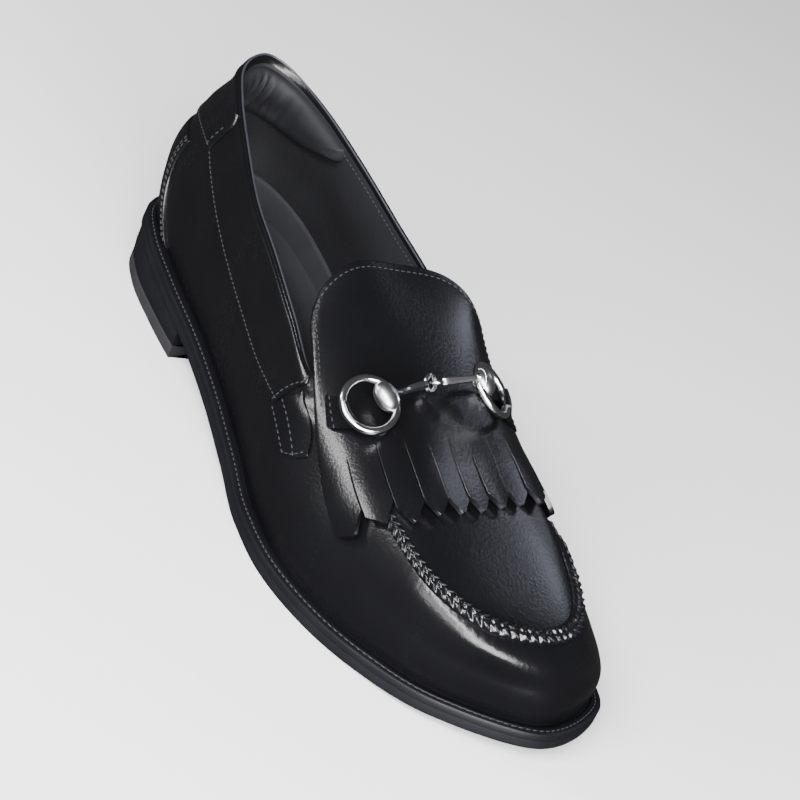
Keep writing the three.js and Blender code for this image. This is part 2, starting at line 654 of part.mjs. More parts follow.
function makeBit() {
  const joint = seatFrame(JOINT_SEAT);
  const middle = joint.point.clone().addScaledVector(joint.normal, KILTIE_FACE + LOOP_DIAMETER / 2 + CLEARANCE);
  for (const [side, seat] of Object.entries(RING_SEATS)) {
    const face = seatFrame(seat);
    const lift = KILTIE_FACE + OVERLAY + 2 * CLEARANCE + RING_WIRE / 2 + (Math.hypot(...RING_TILT[side]) * RING_DIAMETER) / 2;
    const centre = face.point.clone().addScaledVector(face.normal, lift);
    const normal = face.normal.clone().add(new THREE.Vector3(...RING_TILT[side], 0)).normalize();
    const inwards = middle.clone().sub(centre);
    inwards.addScaledVector(normal, -inwards.dot(normal)).normalize();
    const ring = torusAt(centre, normal, RING_DIAMETER, RING_WIRE, 22, 8);
    add(`bit_ring_${side}`, ring, silver());

    // The dome wraps the inner side of the ring, and carries the bar
    const grip = centre.clone().addScaledVector(inwards, (RING_DIAMETER - RING_WIRE) / 2);
    const domeMiddle = grip.clone().addScaledVector(inwards, -DOME_SEAT);
    const dome = new THREE.SphereGeometry(0.5, 12, 8);
    const basis = new THREE.Matrix4().makeBasis(
      inwards, normal.clone().cross(inwards), normal);
    dome.scale(DOME_WIDTH, DOME_LENGTH, DOME_HEIGHT);
    dome.applyMatrix4(basis);
    dome.translate(domeMiddle.x, domeMiddle.y, domeMiddle.z);

    const reach = middle.clone().sub(grip);
    const end = middle.clone().addScaledVector(reach.clone().normalize(), -LOOP_DIAMETER * 0.55);
    const bar = spindle(grip, end, [[0, 0], [0.001, BAR_RADIUS], [0.12, BAR_RADIUS * 0.75],
      [0.9, BAR_RADIUS], [1, BAR_RADIUS * 0.9], [1.001, 0]]);
    const loopNormal = side === 'medial' ? reach.clone().cross(joint.normal).normalize() : joint.normal.clone();
    const loopCentre = end.clone().addScaledVector(reach.clone().normalize(), LOOP_DIAMETER * 0.36);
    const loop = torusAt(loopCentre, loopNormal, LOOP_DIAMETER, LOOP_WIRE, 16, 6);
    const channel = torusAt(centre, normal, RING_DIAMETER + 2 * CLEARANCE, RING_WIRE + 2 * CLEARANCE, 22, 8);
    const solid = toManifold(dome).add(toManifold(bar)).subtract(toManifold(channel)).add(toManifold(loop));
    add(`bit_bar_${side}`, fromManifold(solid), silver());
  }

  // Leather tabs hold the rings to the sides of the kiltie
  const tabs = { lateral: [0.035, 0.16, 1], medial: [0.97, 0.86, -1] };
  for (const [side, [from, to, sign]] of Object.entries(tabs)) {
    const seat = surface(...RING_SEATS[side]);
    add(`bit_tab_${side}`, slab(4, 4, (u, w) => {
      const share = sign > 0 ? from + (to - from) * u : to + (from - to) * u;
      return kiltiePlace(share, seat.x - BIT_TAB_SETBACK[side] + BIT_TAB_WIDTH * (0.5 - w));
    }, even(KILTIE_FACE + CLEARANCE), even(KILTIE_FACE + CLEARANCE + OVERLAY)), leather());
  }
}

makeBottom();
makeUpper();
makeKiltie();
makeApronSeam();
makeOverlays();
makeBit();

// The origin is under the middle of the whole shoe, on the floor
const box = new THREE.Box3().setFromObject(shoe);
shoe.position.set(-(box.min.x + box.max.x) / 2, -(box.min.y + box.max.y) / 2, -box.min.z);

const model = new THREE.Group();
model.add(shoe);
export default model;
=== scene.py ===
"""A polished black kiltie loafer with a two-ring bit, dressed over its packed solids.

Sizes are millimetres along the shoe: X from the heel to the toe, +Y to the inner side, Z up.
"""

import math

import bmesh
import bpy
import numpy as np
from bpy.props import FloatProperty, FloatVectorProperty, IntProperty, PointerProperty
from mathutils import Matrix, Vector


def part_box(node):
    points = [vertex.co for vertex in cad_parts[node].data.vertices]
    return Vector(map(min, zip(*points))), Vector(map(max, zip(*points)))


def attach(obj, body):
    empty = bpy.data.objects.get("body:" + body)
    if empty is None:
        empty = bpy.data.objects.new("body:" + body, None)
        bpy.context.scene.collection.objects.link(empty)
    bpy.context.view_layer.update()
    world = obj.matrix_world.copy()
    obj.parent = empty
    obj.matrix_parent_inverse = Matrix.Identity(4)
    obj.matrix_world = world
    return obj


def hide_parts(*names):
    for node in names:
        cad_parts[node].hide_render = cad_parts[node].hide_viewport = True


bl_info = {
    "name": "Kiltie Loafer",
    "version": (1, 0, 0),
    "blender": (4, 5, 0),
    "location": "View3D > Sidebar > Loafer",
    "description": "Builds a leather loafer with a fringed flap and a metal bit",
    "category": "Object",
}

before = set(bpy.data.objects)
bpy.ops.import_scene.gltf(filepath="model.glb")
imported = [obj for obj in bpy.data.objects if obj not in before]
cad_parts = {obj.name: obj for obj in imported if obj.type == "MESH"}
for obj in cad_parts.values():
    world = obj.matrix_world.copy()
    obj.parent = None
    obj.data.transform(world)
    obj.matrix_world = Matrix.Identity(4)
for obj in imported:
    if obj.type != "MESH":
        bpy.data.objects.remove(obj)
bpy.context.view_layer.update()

# Sizes of the last, as the solids have them
LENGTH = 300.0
BALL_WIDTH = 104.0
HEEL_HEIGHT = 18.0
TOE_SPRING = 5.0
COLLAR_RISE = 66.4
INSTEP_RISE = 64.8
APRON_RISE = 29.1
THROAT_BACK = 30.0
THROAT_UP = 14.0
THROAT_OUT = 0.82
THROAT_IN = 0.95
OUTSOLE = 3.6
WELT = 2.4
WELT_WIDTH = 4.5
CLEARANCE = 0.3
UPPER_WALL = 1.8
TOP_LIFT = 5.0
INSOLE_RISE = 3.6
BREAST_X = 76.0
BREAST_RADIUS = 85.0
KILTIE_GAP = 0.95
WALL_RISE = 0.47
WALL_LEAN = 0.3

# Sections from the back of the heel to the tip of the toe, as shares of the sizes above
COLUMNS = (
    "foot", "foot_out", "foot_in", "bulge", "seam", "seam_out", "seam_in", "seam_collar", "seam_apron",
    "top", "top_out", "top_in", "top_collar", "top_instep",
)
SECTIONS = np.array([
    (0.000, -0.008, 0.008, 2.2, 0.004, -0.008, 0.008, 0.473, 0, 0.030, -0.005, 0.005, 1.000, 0),
    (0.035, 0.200, 0.217, 2.0, 0.028, 0.185, 0.198, 0.446, 0, 0.055, 0.120, 0.125, 0.968, 0),
    (0.110, 0.295, 0.310, 1.6, 0.103, 0.272, 0.285, 0.420, 0, 0.117, 0.197, 0.197, 0.928, 0),
    (0.210, 0.336, 0.322, 1.3, 0.203, 0.315, 0.303, 0.400, 0, 0.207, 0.264, 0.250, 0.873, 0),
    (0.310, 0.355, 0.289, 1.2, 0.303, 0.344, 0.290, 0.392, 0, 0.300, 0.322, 0.284, 0.827, 0),
    (0.410, 0.386, 0.271, 1.2, 0.403, 0.380, 0.288, 0.416, 0, 0.393, 0.358, 0.298, 0.818, 0),
    (0.510, 0.429, 0.292, 1.5, 0.503, 0.415, 0.303, 0.465, 0, 0.487, 0.383, 0.303, 0.790, 0),
    (0.610, 0.488, 0.374, 2.0, 0.607, 0.433, 0.332, 0.280, 0.630, 0.573, 0.389, 0.312, 0.370, 0.375),
    (0.700, 0.513, 0.462, 2.4, 0.707, 0.371, 0.300, 0, 1.457, 0.573, 0.298, 0.285, 0, 0.870),
    (0.790, 0.469, 0.512, 2.6, 0.797, 0.356, 0.291, 0, 1.368, 0.547, 0.192, 0.205, 0, 0.940),
    (0.870, 0.375, 0.513, 2.8, 0.877, 0.311, 0.258, 0, 1.186, 0.527, 0.110, 0.106, 0, 0.981),
    (0.945, 0.216, 0.418, 3.0, 0.932, 0.185, 0.170, 0, 1.045, 0.518, 0.038, 0.053, 0, 0.997),
    (1.000, -0.101, 0.101, 3.0, 0.950, -0.008, 0.008, 0, 1.000, 0.517, -0.010, 0.010, 0, 1.000),
], dtype=float)

# Underside of the sole: share of the length, of HEEL_HEIGHT and of TOE_SPRING
PROFILE = np.array([
    (0.00, 1.00, 0), (0.11, 0.91, 0), (0.21, 0.78, 0), (0.31, 0.62, 0), (0.41, 0.42, 0), (0.51, 0.17, 0),
    (0.61, 0, 0), (0.76, 0, 0), (0.87, 0, 0.22), (0.945, 0, 0.60), (1.00, 0, 1.00),
])
HALF = len(SECTIONS) - 1
ROUND = 2 * HALF
RING_SIDES = [(k, "out", -1.0) for k in range(HALF + 1)] + [(k, "in", 1.0) for k in range(HALF - 1, 0, -1)]


def column(name):
    """One column of SECTIONS for each section all round, the outer side first."""
    return np.array([SECTIONS[k, COLUMNS.index(name)] for k, _, _ in RING_SIDES])


def width(name):
    """Signed half widths all round, in millimetres."""
    shares_across = [sign * SECTIONS[k, COLUMNS.index(f"{name}_{side}")] for k, side, sign in RING_SIDES]
    return np.array(shares_across) * BALL_WIDTH


def profile_column(which, along):
    """A monotone cubic through one column of PROFILE."""
    x, y = PROFILE[:, 0], PROFILE[:, which]
    s = np.clip(along, 0, 1)
    secant = np.diff(y) / np.diff(x)
    a, b = secant[:-1], secant[1:]
    inner = np.where(a * b > 0, 2 * a * b / np.where(a + b == 0, 1, a + b), 0)
    slope = np.concatenate([secant[:1], inner, secant[-1:]])
    k = np.clip(np.searchsorted(x, s, side="right") - 1, 0, len(x) - 2)
    h = x[k + 1] - x[k]
    q = (s - x[k]) / h
    return (
        y[k] * (2 * q**3 - 3 * q**2 + 1) + slope[k] * h * (q**3 - 2 * q**2 + q)
        + y[k + 1] * (3 * q**2 - 2 * q**3) + slope[k + 1] * h * (q**3 - q**2)
    )


def sole_height(x):
    """Underside of the outsole over x."""
    return HEEL_HEIGHT * profile_column(1, x / LENGTH) + TOE_SPRING * profile_column(2, x / LENGTH)


def feather_height(x):
    """Lower edge of the upper over x."""
    return sole_height(x) + OUTSOLE + WELT + 2 * CLEARANCE


def spline_weights(q):
    """Weights of four neighbours in a uniform Catmull-Rom spline."""
    return np.stack([
        (-q + 2 * q**2 - q**3) / 2, (2 - 5 * q**2 + 3 * q**3) / 2,
        (q + 4 * q**2 - 3 * q**3) / 2, (q**3 - q**2) / 2,
    ], -1)


def around(ring, r):
    """A point of the closed spline through the ring, at the section number r."""
    r = np.asarray(r, float)
    k = np.floor(r).astype(int)
    w = spline_weights(r - k)
    return sum(w[..., i, None] * ring[(k + i - 1) % len(ring)] for i in range(4))


FOOT = np.stack([column("foot") * LENGTH, width("foot"), np.zeros(ROUND)], -1)


def inset(r, d):
    """The outline of the sole moved inwards by d, in plan."""
    t = around(FOOT, np.asarray(r, float) + 0.02) - around(FOOT, np.asarray(r, float) - 0.02)
    t /= np.linalg.norm(t, axis=-1, keepdims=True)
    d = np.asarray(d, float)
    p = around(FOOT, r)
    return np.stack([p[..., 0] - t[..., 1] * d, p[..., 1] + t[..., 0] * d, p[..., 2]], -1)


def make_levels():
    """Rings of the last from the feather line to behind the throat, with one beyond each end."""
    k = np.arange(ROUND)
    low = inset(k, WELT_WIDTH)
    low[:, 2] = feather_height(low[:, 0])
    seam_x, top_x = column("seam") * LENGTH, column("top") * LENGTH
    seam_rise = column("seam_collar") * COLLAR_RISE + column("seam_apron") * APRON_RISE
    top_rise = column("top_collar") * COLLAR_RISE + column("top_instep") * INSTEP_RISE
    seam = np.stack([seam_x, width("seam"), feather_height(seam_x) + seam_rise], -1)
    top = np.stack([top_x, width("top"), feather_height(top_x) + top_rise], -1)
    fullest = inset(k, WELT_WIDTH - column("bulge"))
    wall = np.stack([
        fullest[:, 0] + (seam[:, 0] - low[:, 0]) * WALL_LEAN,
        fullest[:, 1] + (seam[:, 1] - low[:, 1]) * WALL_LEAN,
        low[:, 2] + (seam[:, 2] - low[:, 2]) * WALL_RISE,
    ], -1)
    narrow = np.where(top[:, 1] < 0, THROAT_OUT, THROAT_IN)
    beyond = np.stack([top[:, 0] - THROAT_BACK, top[:, 1] * narrow, top[:, 2] + THROAT_UP], -1)
    rings = [low, wall, seam, (seam + top) / 2, top, beyond]
    return np.stack([2 * low - wall] + rings + [2 * beyond - top])


LEVELS = make_levels()
LEVEL_STEP = 0.25
LAST = LEVEL_STEP * (len(LEVELS) - 3)


def surface(r, v):
    """The upper's outer face: v is 0 at the feather line, 0.5 at the apron seam and 1 at the topline."""
    r, v = np.broadcast_arrays(np.asarray(r, float), np.asarray(v, float))
    q = np.clip(v / LEVEL_STEP, 0, len(LEVELS) - 3)
    k = np.minimum(np.floor(q).astype(int), len(LEVELS) - 4)
    n = np.floor(r).astype(int)
    wv, wr = spline_weights(q - k), spline_weights(r - n)
    out = np.zeros(r.shape + (3,))
    for i in range(4):
        for j in range(4):
            out += (wv[..., i] * wr[..., j])[..., None] * LEVELS[k + i, (n + j - 1) % ROUND]
    return out


def slopes(r, v):
    """Slopes of the outer face along the ring and up the levels."""
    h = 0.01
    level = np.clip(v, h, LAST - h)
    along = (surface(np.add(r, h), v) - surface(np.subtract(r, h), v)) / (2 * h)
    up = (surface(r, level + h) - surface(r, level - h)) / (2 * h)
    return along, up


def normal_at(r, v):
    along, up = slopes(r, v)
    n = np.cross(along, up)
    return n / np.linalg.norm(n, axis=-1, keepdims=True)


def lift(r, v, d):
    """A point of the upper moved out by d along its normal."""
    d = np.broadcast_to(np.asarray(d, float), np.broadcast(r, v).shape)
    return surface(r, v) + normal_at(r, v) * d[..., None]


def walk(x, arc, steps=14):
    """Section and level of the point at x whose arc across the foot is measured from the middle."""
    x, arc = np.broadcast_arrays(np.asarray(x, float), np.asarray(arc, float))
    r, v = np.full(x.shape, float(HALF)), np.full(x.shape, 0.8)
    for _ in range(6):
        _, up = slopes(r, v)
        v = np.clip(v - (surface(r, v)[..., 0] - x) / up[..., 0], 0, LAST)
    for _ in range(steps):
        along, up = slopes(r, v)
        step = along * up[..., :1] - up * along[..., :1]
        size = np.linalg.norm(step, axis=-1) * np.sign(step[..., 1])
        r = r + up[..., 0] * arc / steps / size
        v = v - along[..., 0] * arc / steps / size
        along, up = slopes(r, v)
        error = surface(r, v)[..., 0] - x
        size = along[..., 0] ** 2 + up[..., 0] ** 2
        r = r - error * along[..., 0] / size
        v = np.clip(v - error * up[..., 0] / size, 0, LAST)
    return r, v


# Points of the outsole's outline in the solids
OUTLINE_POINTS = 76


def find_shift():
    """How far the solids were moved to centre them, read off the outsole's box."""
    low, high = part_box("outsole")
    edge = inset(np.linspace(0, ROUND, OUTLINE_POINTS, endpoint=False), 0)
    middle = (edge[:, 1].min() + edge[:, 1].max()) / 2
    return np.array([low.x * 1000 - edge[:, 0].min(), (low.y + high.y) * 500 - middle, 0.0])


SHIFT = find_shift()


def to_metres(points):
    """Millimetres of the shoe to metres of the scene."""
    return (np.asarray(points, float) + SHIFT) / 1000


# Outline of the kiltie: share of the length, then arcs from the middle to its outer and inner
# edges as shares of the ball width
KILTIE_ROWS = np.array([
    (0.457, 0.337, 0.300), (0.490, 0.357, 0.315), (0.527, 0.382, 0.325), (0.573, 0.411, 0.325),
    (0.600, 0.425, 0.325), (0.640, 0.455, 0.327), (0.683, 0.490, 0.332), (0.750, 0.512, 0.340),
    (0.817, 0.529, 0.346),
])
# Height of the kiltie's underside over its sheet, and the form of its back edge
KILTIE_LIFT = 0.8
KILTIE_BACK = 0.457
KILTIE_CORNER = 0.08

# Fringe: share across from the outer side, then its root and its tip as shares of the length
FRINGE_ROWS = np.array([
    (0.00, 0.697, 0.780), (0.12, 0.697, 0.800), (0.25, 0.697, 0.815),
    (0.50, 0.692, 0.804), (0.75, 0.683, 0.785), (1.00, 0.680, 0.765),
])
# Section and level under the rings and under the joint of the bars, then height and lean of the rings
RING_SEATS = {"lateral": (8.54, 0.737), "medial": (13.72, 0.841)}
JOINT_SEAT = (11.08, 0.857)
RING_RISE = {"lateral": 6.4, "medial": 6.6}
RING_TILT = {"lateral": (0.4, 0.13, 0.0), "medial": (0.15, 0.33, 0.0)}


def row_at(rows, place, which):
    """One column of a table at a place between its rows."""
    return np.interp(place, rows[:, 0], rows[:, which])


def kiltie_place(u, x):
    """Section and level at the share u across the kiltie, outer side first, and at x."""
    out = -BALL_WIDTH * row_at(KILTIE_ROWS, x / LENGTH, 1)
    inside = BALL_WIDTH * row_at(KILTIE_ROWS, x / LENGTH, 2)
    return walk(x, out + (inside - out) * u)


def kiltie_back(u):
    return LENGTH * (KILTIE_BACK + KILTIE_CORNER * (1 - np.sqrt(1 - np.abs(2 * np.asarray(u) - 1) ** 3.4)))


def fringe_root(u):
    return LENGTH * row_at(FRINGE_ROWS, u, 1)


def fringe_tip(u):
    return LENGTH * row_at(FRINGE_ROWS, u, 2)


# The kiltie's sheet is a polynomial: its middle and reach in shares of the length, and its powers
SHEET_MIDDLE = 0.63
SHEET_REACH = 0.18
POWERS_ACROSS = 6
POWERS_ALONG = 5


def sheet_terms(u, x):
    """Terms of the polynomial that carries the kiltie, over the share across and x."""
    across = 2 * np.asarray(u, float) - 1
    along = (np.asarray(x, float) / LENGTH - SHEET_MIDDLE) / SHEET_REACH
    return np.stack([across**i * along**j for i in range(POWERS_ACROSS) for j in range(POWERS_ALONG)], -1)


def fit_sheet():
    """A smooth sheet through the leather under the kiltie, that would rather stand off than cut in."""
    u, w = np.meshgrid(np.linspace(0, 1, 57), np.linspace(0, 1, 57), indexing="ij")
    x = kiltie_back(u) + (fringe_tip(u) - kiltie_back(u)) * w
    r, v = kiltie_place(u, x)
    point, normal, terms = surface(r, v), normal_at(r, v), sheet_terms(u, x)
    weight = np.ones(u.shape)
    for _ in range(8):
        pull = weight[..., None]
        left, right = (terms * pull).reshape(-1, terms.shape[-1]), (point * pull).reshape(-1, 3)
        factors = np.linalg.lstsq(left, right, rcond=None)[0]
        weight = np.where(((terms @ factors - point) * normal).sum(-1) < 0, 3.0, 1.0)
    return factors


SHEET = fit_sheet()


def on_sheet(u, x, height=0.0):
    """Point at a height over the kiltie's sheet, and the normal there."""
    u, x, height = np.broadcast_arrays(*(np.asarray(a, float) for a in (u, x, height)))
    across = (sheet_terms(u + 0.002, x) - sheet_terms(u - 0.002, x)) @ SHEET
    along = (sheet_terms(u, x + 0.5) - sheet_terms(u, x - 0.5)) @ SHEET
    normal = np.cross(along, across)
    normal /= np.linalg.norm(normal, axis=-1, keepdims=True)
    return sheet_terms(u, x) @ SHEET + normal * height[..., None], normal


def length(name, description, default, low, high):
    """A property that holds a length in metres."""
    return FloatProperty(name=name, description=description, default=default, min=low, max=high,
                         unit="LENGTH")


def tint(name, description, *default):
    """A property that holds a colour."""
    return FloatVectorProperty(name=name, description=description, subtype="COLOR", size=3, min=0, max=1,
                               default=default)


class LoaferSizes(bpy.types.PropertyGroup):
    """Sizes of the pieces that are laid over the last."""

    overlay: length("Overlay", "Thickness of counters, bands and tabs", 0.0008, 0.0005, 0.003)
    kiltie: length("Kiltie", "Thickness of the kiltie and its fringe", 0.0016, 0.0008, 0.003)
    strips: IntProperty(name="Strips", description="Number of strips in the fringe", default=10, min=4,
                        max=16)
    stitch_pitch: length("Stitch pitch", "Distance from stitch to stitch", 0.0024, 0.001, 0.006)
    thread: length("Thread", "Thickness of the sewing thread", 0.00055, 0.0002, 0.002)
    pucker_pitch: length("Pucker pitch", "Distance between the gathers of the seam", 0.0034, 0.002, 0.01)
    ring: length("Ring", "Outer diameter of the rings of the bit", 0.0213, 0.016, 0.03)
    wire: length("Wire", "Thickness of the rings of the bit", 0.0027, 0.0015, 0.004)


class LoaferColours(bpy.types.PropertyGroup):
    """Colours of the finishes."""

    leather: tint("Leather", "Colour of the polished leather", 0.0022, 0.0022, 0.0027)
    lining: tint("Lining", "Colour of the lining", 0.0062, 0.0062, 0.0075)
    sock: tint("Sock", "Colour of the sock over the insole", 0.021, 0.021, 0.024)
    sole: tint("Sole", "Colour of the stained sole and heel", 0.0042, 0.0042, 0.0054)
    thread: tint("Thread", "Colour of the sewing thread", 0.013, 0.013, 0.015)
    metal: tint("Metal", "Colour of the plated bit", 0.66, 0.66, 0.68)


def sizes():
    return bpy.context.scene.loafer_sizes


def colours():
    return bpy.context.scene.loafer_colours


class Value:
    """A socket that carries a number and takes Python's operators."""

    def __init__(self, shader, socket):
        self.shader = shader
        self.socket = socket

    def math(self, operation, other=0.0):
        return self.shader.make("ShaderNodeMath", {0: self, 1: other}, operation=operation)

    def __add__(self, other):
        return self.math("ADD", other)

    def __mul__(self, other):
        return self.math("MULTIPLY", other)

    __radd__ = __add__
    __rmul__ = __mul__


class Shader:
    """A new material whose nodes are made by one method."""

    def __init__(self, name, **fixed):
        self.material = bpy.data.materials.new(name)
        self.material.use_nodes = True
        self.tree = self.material.node_tree
        self.surface = next(n for n in self.tree.nodes if n.type == "BSDF_PRINCIPLED")
        for key, value in fixed.items():
            self.surface.inputs[key.replace("_", " ")].default_value = value
        self.place = self.make("ShaderNodeTexCoord", out="Object")

    def make(self, kind, inputs=None, out=0, ramp=None, **settings):
        node = self.tree.nodes.new(kind)
        for key, value in settings.items():
            setattr(node, key, value)
        if ramp:
            stops = node.color_ramp.elements
            while len(stops) < len(ramp):
                stops.new(0.5)
            for stop, (position, shade) in zip(stops, ramp):
                stop.position = position
                stop.color = (shade, shade, shade, 1)
        for key, value in (inputs or {}).items():
            if isinstance(value, Value):
                self.tree.links.new(value.socket, node.inputs[key])
            else:
                node.inputs[key].default_value = value
        return Value(self, node.outputs[out])

    def feed(self, name, value):
        self.tree.links.new(value.socket, self.surface.inputs[name])

    def noise(self, scale, detail=2.0, rough=0.5):
        return self.make("ShaderNodeTexNoise", {"Vector": self.place, "Scale": scale, "Detail": detail,
                                                "Roughness": rough})

    def cells(self, scale):
        return self.make("ShaderNodeTexVoronoi", {"Vector": self.place, "Scale": scale},
                         feature="SMOOTH_F1")

    def blend(self, factor, dark, light):
        return self.make("ShaderNodeMix", {"Factor": factor, 6: (*dark, 1), 7: (*light, 1)}, out=2,
                         data_type="RGBA")

    def bump(self, height, distance, strength):
        self.feed("Normal", self.make("ShaderNodeBump", {"Height": height, "Distance": distance,
                                                         "Strength": strength}))

    def axis(self, which):
        return self.make("ShaderNodeSeparateXYZ", {0: self.place}, out=which)


def lighter(colour, times):
    """A colour times a number, each part at most 1."""
    return tuple(min(c * times, 1.0) for c in colour)


def polished_leather(name, colour, rough=0.23, grain=0.27, gloss=0.33):
    """Smooth calf: fine pores and a soft uneven polish."""
    s = Shader(name, Specular_IOR_Level=gloss)
    pores = s.cells(1150.0)
    fine = s.noise(2600.0, 2.0)
    uneven = s.noise(38.0, 3.0)
    s.feed("Base Color", s.blend(uneven, lighter(colour, 0.75), lighter(colour, 1.35)))
    s.feed("Roughness", rough - 0.05 + uneven * 0.1 + fine * 0.05)
    s.bump(pores * 0.9 + fine * 0.5 + s.noise(420.0, 2.0) * 0.2, 0.0002, grain)
    return s.material


def lining_leather(name, colour, rough=0.62):
    """Matt lining: a short nap and shallow pores."""
    s = Shader(name, Specular_IOR_Level=0.2)
    nap = s.noise(1900.0, 3.0)
    uneven = s.noise(55.0, 3.0)
    s.feed("Base Color", s.blend(uneven, lighter(colour, 0.8), lighter(colour, 1.3)))
    s.feed("Roughness", rough + nap * 0.12)
    s.bump(nap + s.cells(900.0) * 0.6, 0.00025, 0.3)
    return s.material


def sole_edge(name, colour, rough=0.4, layers=0.0):
    """Stained and burnished leather edge, with the lifts of a stacked heel where layers is set."""
    s = Shader(name, Specular_IOR_Level=0.14)
    uneven = s.noise(60.0, 3.0)
    flattened = s.make("ShaderNodeMapping", {"Vector": s.place, "Scale": (1.0, 1.0, 9.0)})
    fibres = s.make("ShaderNodeTexNoise", {"Vector": flattened, "Scale": 420.0})
    s.feed("Base Color", s.blend(uneven, lighter(colour, 0.8), lighter(colour, 1.5)))
    s.feed("Roughness", rough + uneven * 0.1 + fibres * 0.06)
    height = fibres * 0.5
    if layers:
        line = (s.axis(2) * (1.0 / layers)).math("FRACT")
        steps = [(0.0, 0.0), (0.05, 1.0), (0.95, 1.0), (1.0, 0.0)]
        height = height + s.make("ShaderNodeValToRGB", {0: line}, ramp=steps)
    s.bump(height, 0.00025, 0.45)
    return s.material


def moulded_rubber(name, colour):
    """Matt rubber with a fine grit."""
    s = Shader(name, Specular_IOR_Level=0.2)
    grit = s.noise(1500.0, 3.0)
    s.feed("Base Color", s.blend(s.noise(90.0), lighter(colour, 0.8), lighter(colour, 1.4)))
    s.feed("Roughness", 0.6 + grit * 0.15)
    s.bump(grit, 0.00018, 0.3)
    return s.material


def sewing_thread(name, colour, rough=0.5):
    """Waxed thread with a slight fuzz."""
    s = Shader(name, Specular_IOR_Level=0.25)
    twist = s.noise(3800.0, 2.0)
    s.feed("Base Color", s.blend(twist, lighter(colour, 0.6), lighter(colour, 1.5)))
    s.feed("Roughness", rough + twist * 0.2)
    s.bump(twist, 0.0001, 0.4)
    return s.material


def plated_metal(name, colour, rough=0.12):
    """Polished nickel plate with faint handling marks."""
    s = Shader(name, Metallic=1.0)
    marks = s.noise(260.0, 4.0, 0.65)
    s.feed("Base Color", s.blend(marks, lighter(colour, 0.93), lighter(colour, 1.05)))
    s.feed("Roughness", rough + marks * 0.1)
    s.bump(marks, 0.00004, 0.25)
    return s.material


FINISHES = {}
# Thickness of one lift of the stacked heel, in metres
HEEL_LIFT = 0.0042


def finish(key):
    """The material of a finish, made on its first use."""
    if key not in FINISHES:
        c = {name: tuple(getattr(colours(), name)) for name in LoaferColours.__annotations__}
        makers = {
            "leather": lambda: polished_leather("polished_leather", c["leather"]),
            "seam_leather": lambda: polished_leather("seam_leather", c["leather"], 0.2, 0.3, 0.5),
            "lining": lambda: lining_leather("lining_leather", c["lining"]),
            "sock": lambda: lining_leather("sock_leather", c["sock"], 0.68),
            "outsole": lambda: sole_edge("outsole_edge", c["sole"], 0.36),
            "welt": lambda: sole_edge("welt_leather", lighter(c["sole"], 0.8), 0.34),
            "heel": lambda: sole_edge("stacked_heel", c["sole"], 0.38, HEEL_LIFT),
            "rubber": lambda: moulded_rubber("lift_rubber", (0.012, 0.012, 0.013)),
            "thread": lambda: sewing_thread("sewing_thread", c["thread"]),
            "dark_thread": lambda: sewing_thread("seam_thread", lighter(c["leather"], 2.2), 0.28),
            "metal": lambda: plated_metal("plated_metal", c["metal"]),
            "satin_metal": lambda: plated_metal("satin_metal", lighter(c["metal"], 0.55), 0.27),
            # The piping's colour is nine times the leather's, a painted highlight that makes it read as a
            # lit bright line
            "binding": lambda: polished_leather("topline_binding", lighter(c["leather"], 9.0), 0.3, 0.2),
        }
        FINISHES[key] = makers[key]()
    return FINISHES[key]


def piece_from(name, points, faces, finishes, replaces=(), face_finish=None, sharp=50.0):
    """A finished piece from millimetre points, riding on the shoe."""
    mesh = bpy.data.meshes.new(name)
    mesh.from_pydata(to_metres(points).tolist(), [], [list(map(int, f)) for f in faces])
    for key in finishes:
        mesh.materials.append(finish(key))
    mesh.validate()
    if face_finish is not None:
        mesh.polygons.foreach_set("material_index", np.asarray(face_finish, dtype=np.int32))
    mesh.shade_smooth()
    mesh.set_sharp_from_angle(angle=math.radians(sharp))
    piece = bpy.data.objects.new(name, mesh)
    bpy.context.scene.collection.objects.link(piece)
    return settle(piece, replaces)


def settle(piece, replaces=()):
    """Ties a piece to the shoe, and names its material slot and the solids that it stands for."""
    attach(piece, "root")
    if replaces:
        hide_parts(*replaces)
    return piece


def grid_faces(rows, columns, start=0, loop=False, flip=False):
    """Quads between neighbouring rows and columns of a grid of points."""
    i, j = np.meshgrid(np.arange(rows if loop else rows - 1), np.arange(columns - 1), indexing="ij")
    a = start + i * columns + j
    b = start + ((i + 1) % rows) * columns + j
    quads = np.stack([a, b, b + 1, a + 1], -1).reshape(-1, 4)
    return quads[:, ::-1] if flip else quads


def tube_faces(rows, columns, loop=False, flip=False, caps=False):
    """Quads of a tube of rings, joined end to end where loop is set, or with a face over each end."""
    i, j = np.meshgrid(np.arange(rows if loop else rows - 1), np.arange(columns), indexing="ij")
    n, k = (i + 1) % rows, (j + 1) % columns
    corners = [i * columns + j, n * columns + j, n * columns + k, i * columns + k]
    faces = np.stack(corners, -1).reshape(-1, 4).tolist()
    if caps:
        last = (rows - 1) * columns
        faces += [list(range(columns)), list(range(last, last + columns))[::-1]]
    return [face[:1] + face[:0:-1] for face in faces] if flip else faces


def border_faces(rows, columns, other):
    """Quads that join the borders of two grids of the same size, the outer one first."""
    quads = []
    for i in range(rows - 1):
        a, b = i * columns, (i + 1) * columns
        quads.append((a, other + a, other + b, b))
        a, b = a + columns - 1, b + columns - 1
        quads.append((a, b, other + b, other + a))
    for j in range(columns - 1):
        quads.append((j, j + 1, other + j + 1, other + j))
        a = (rows - 1) * columns + j
        quads.append((a, other + a, other + a + 1, a + 1))
    return np.array(quads)


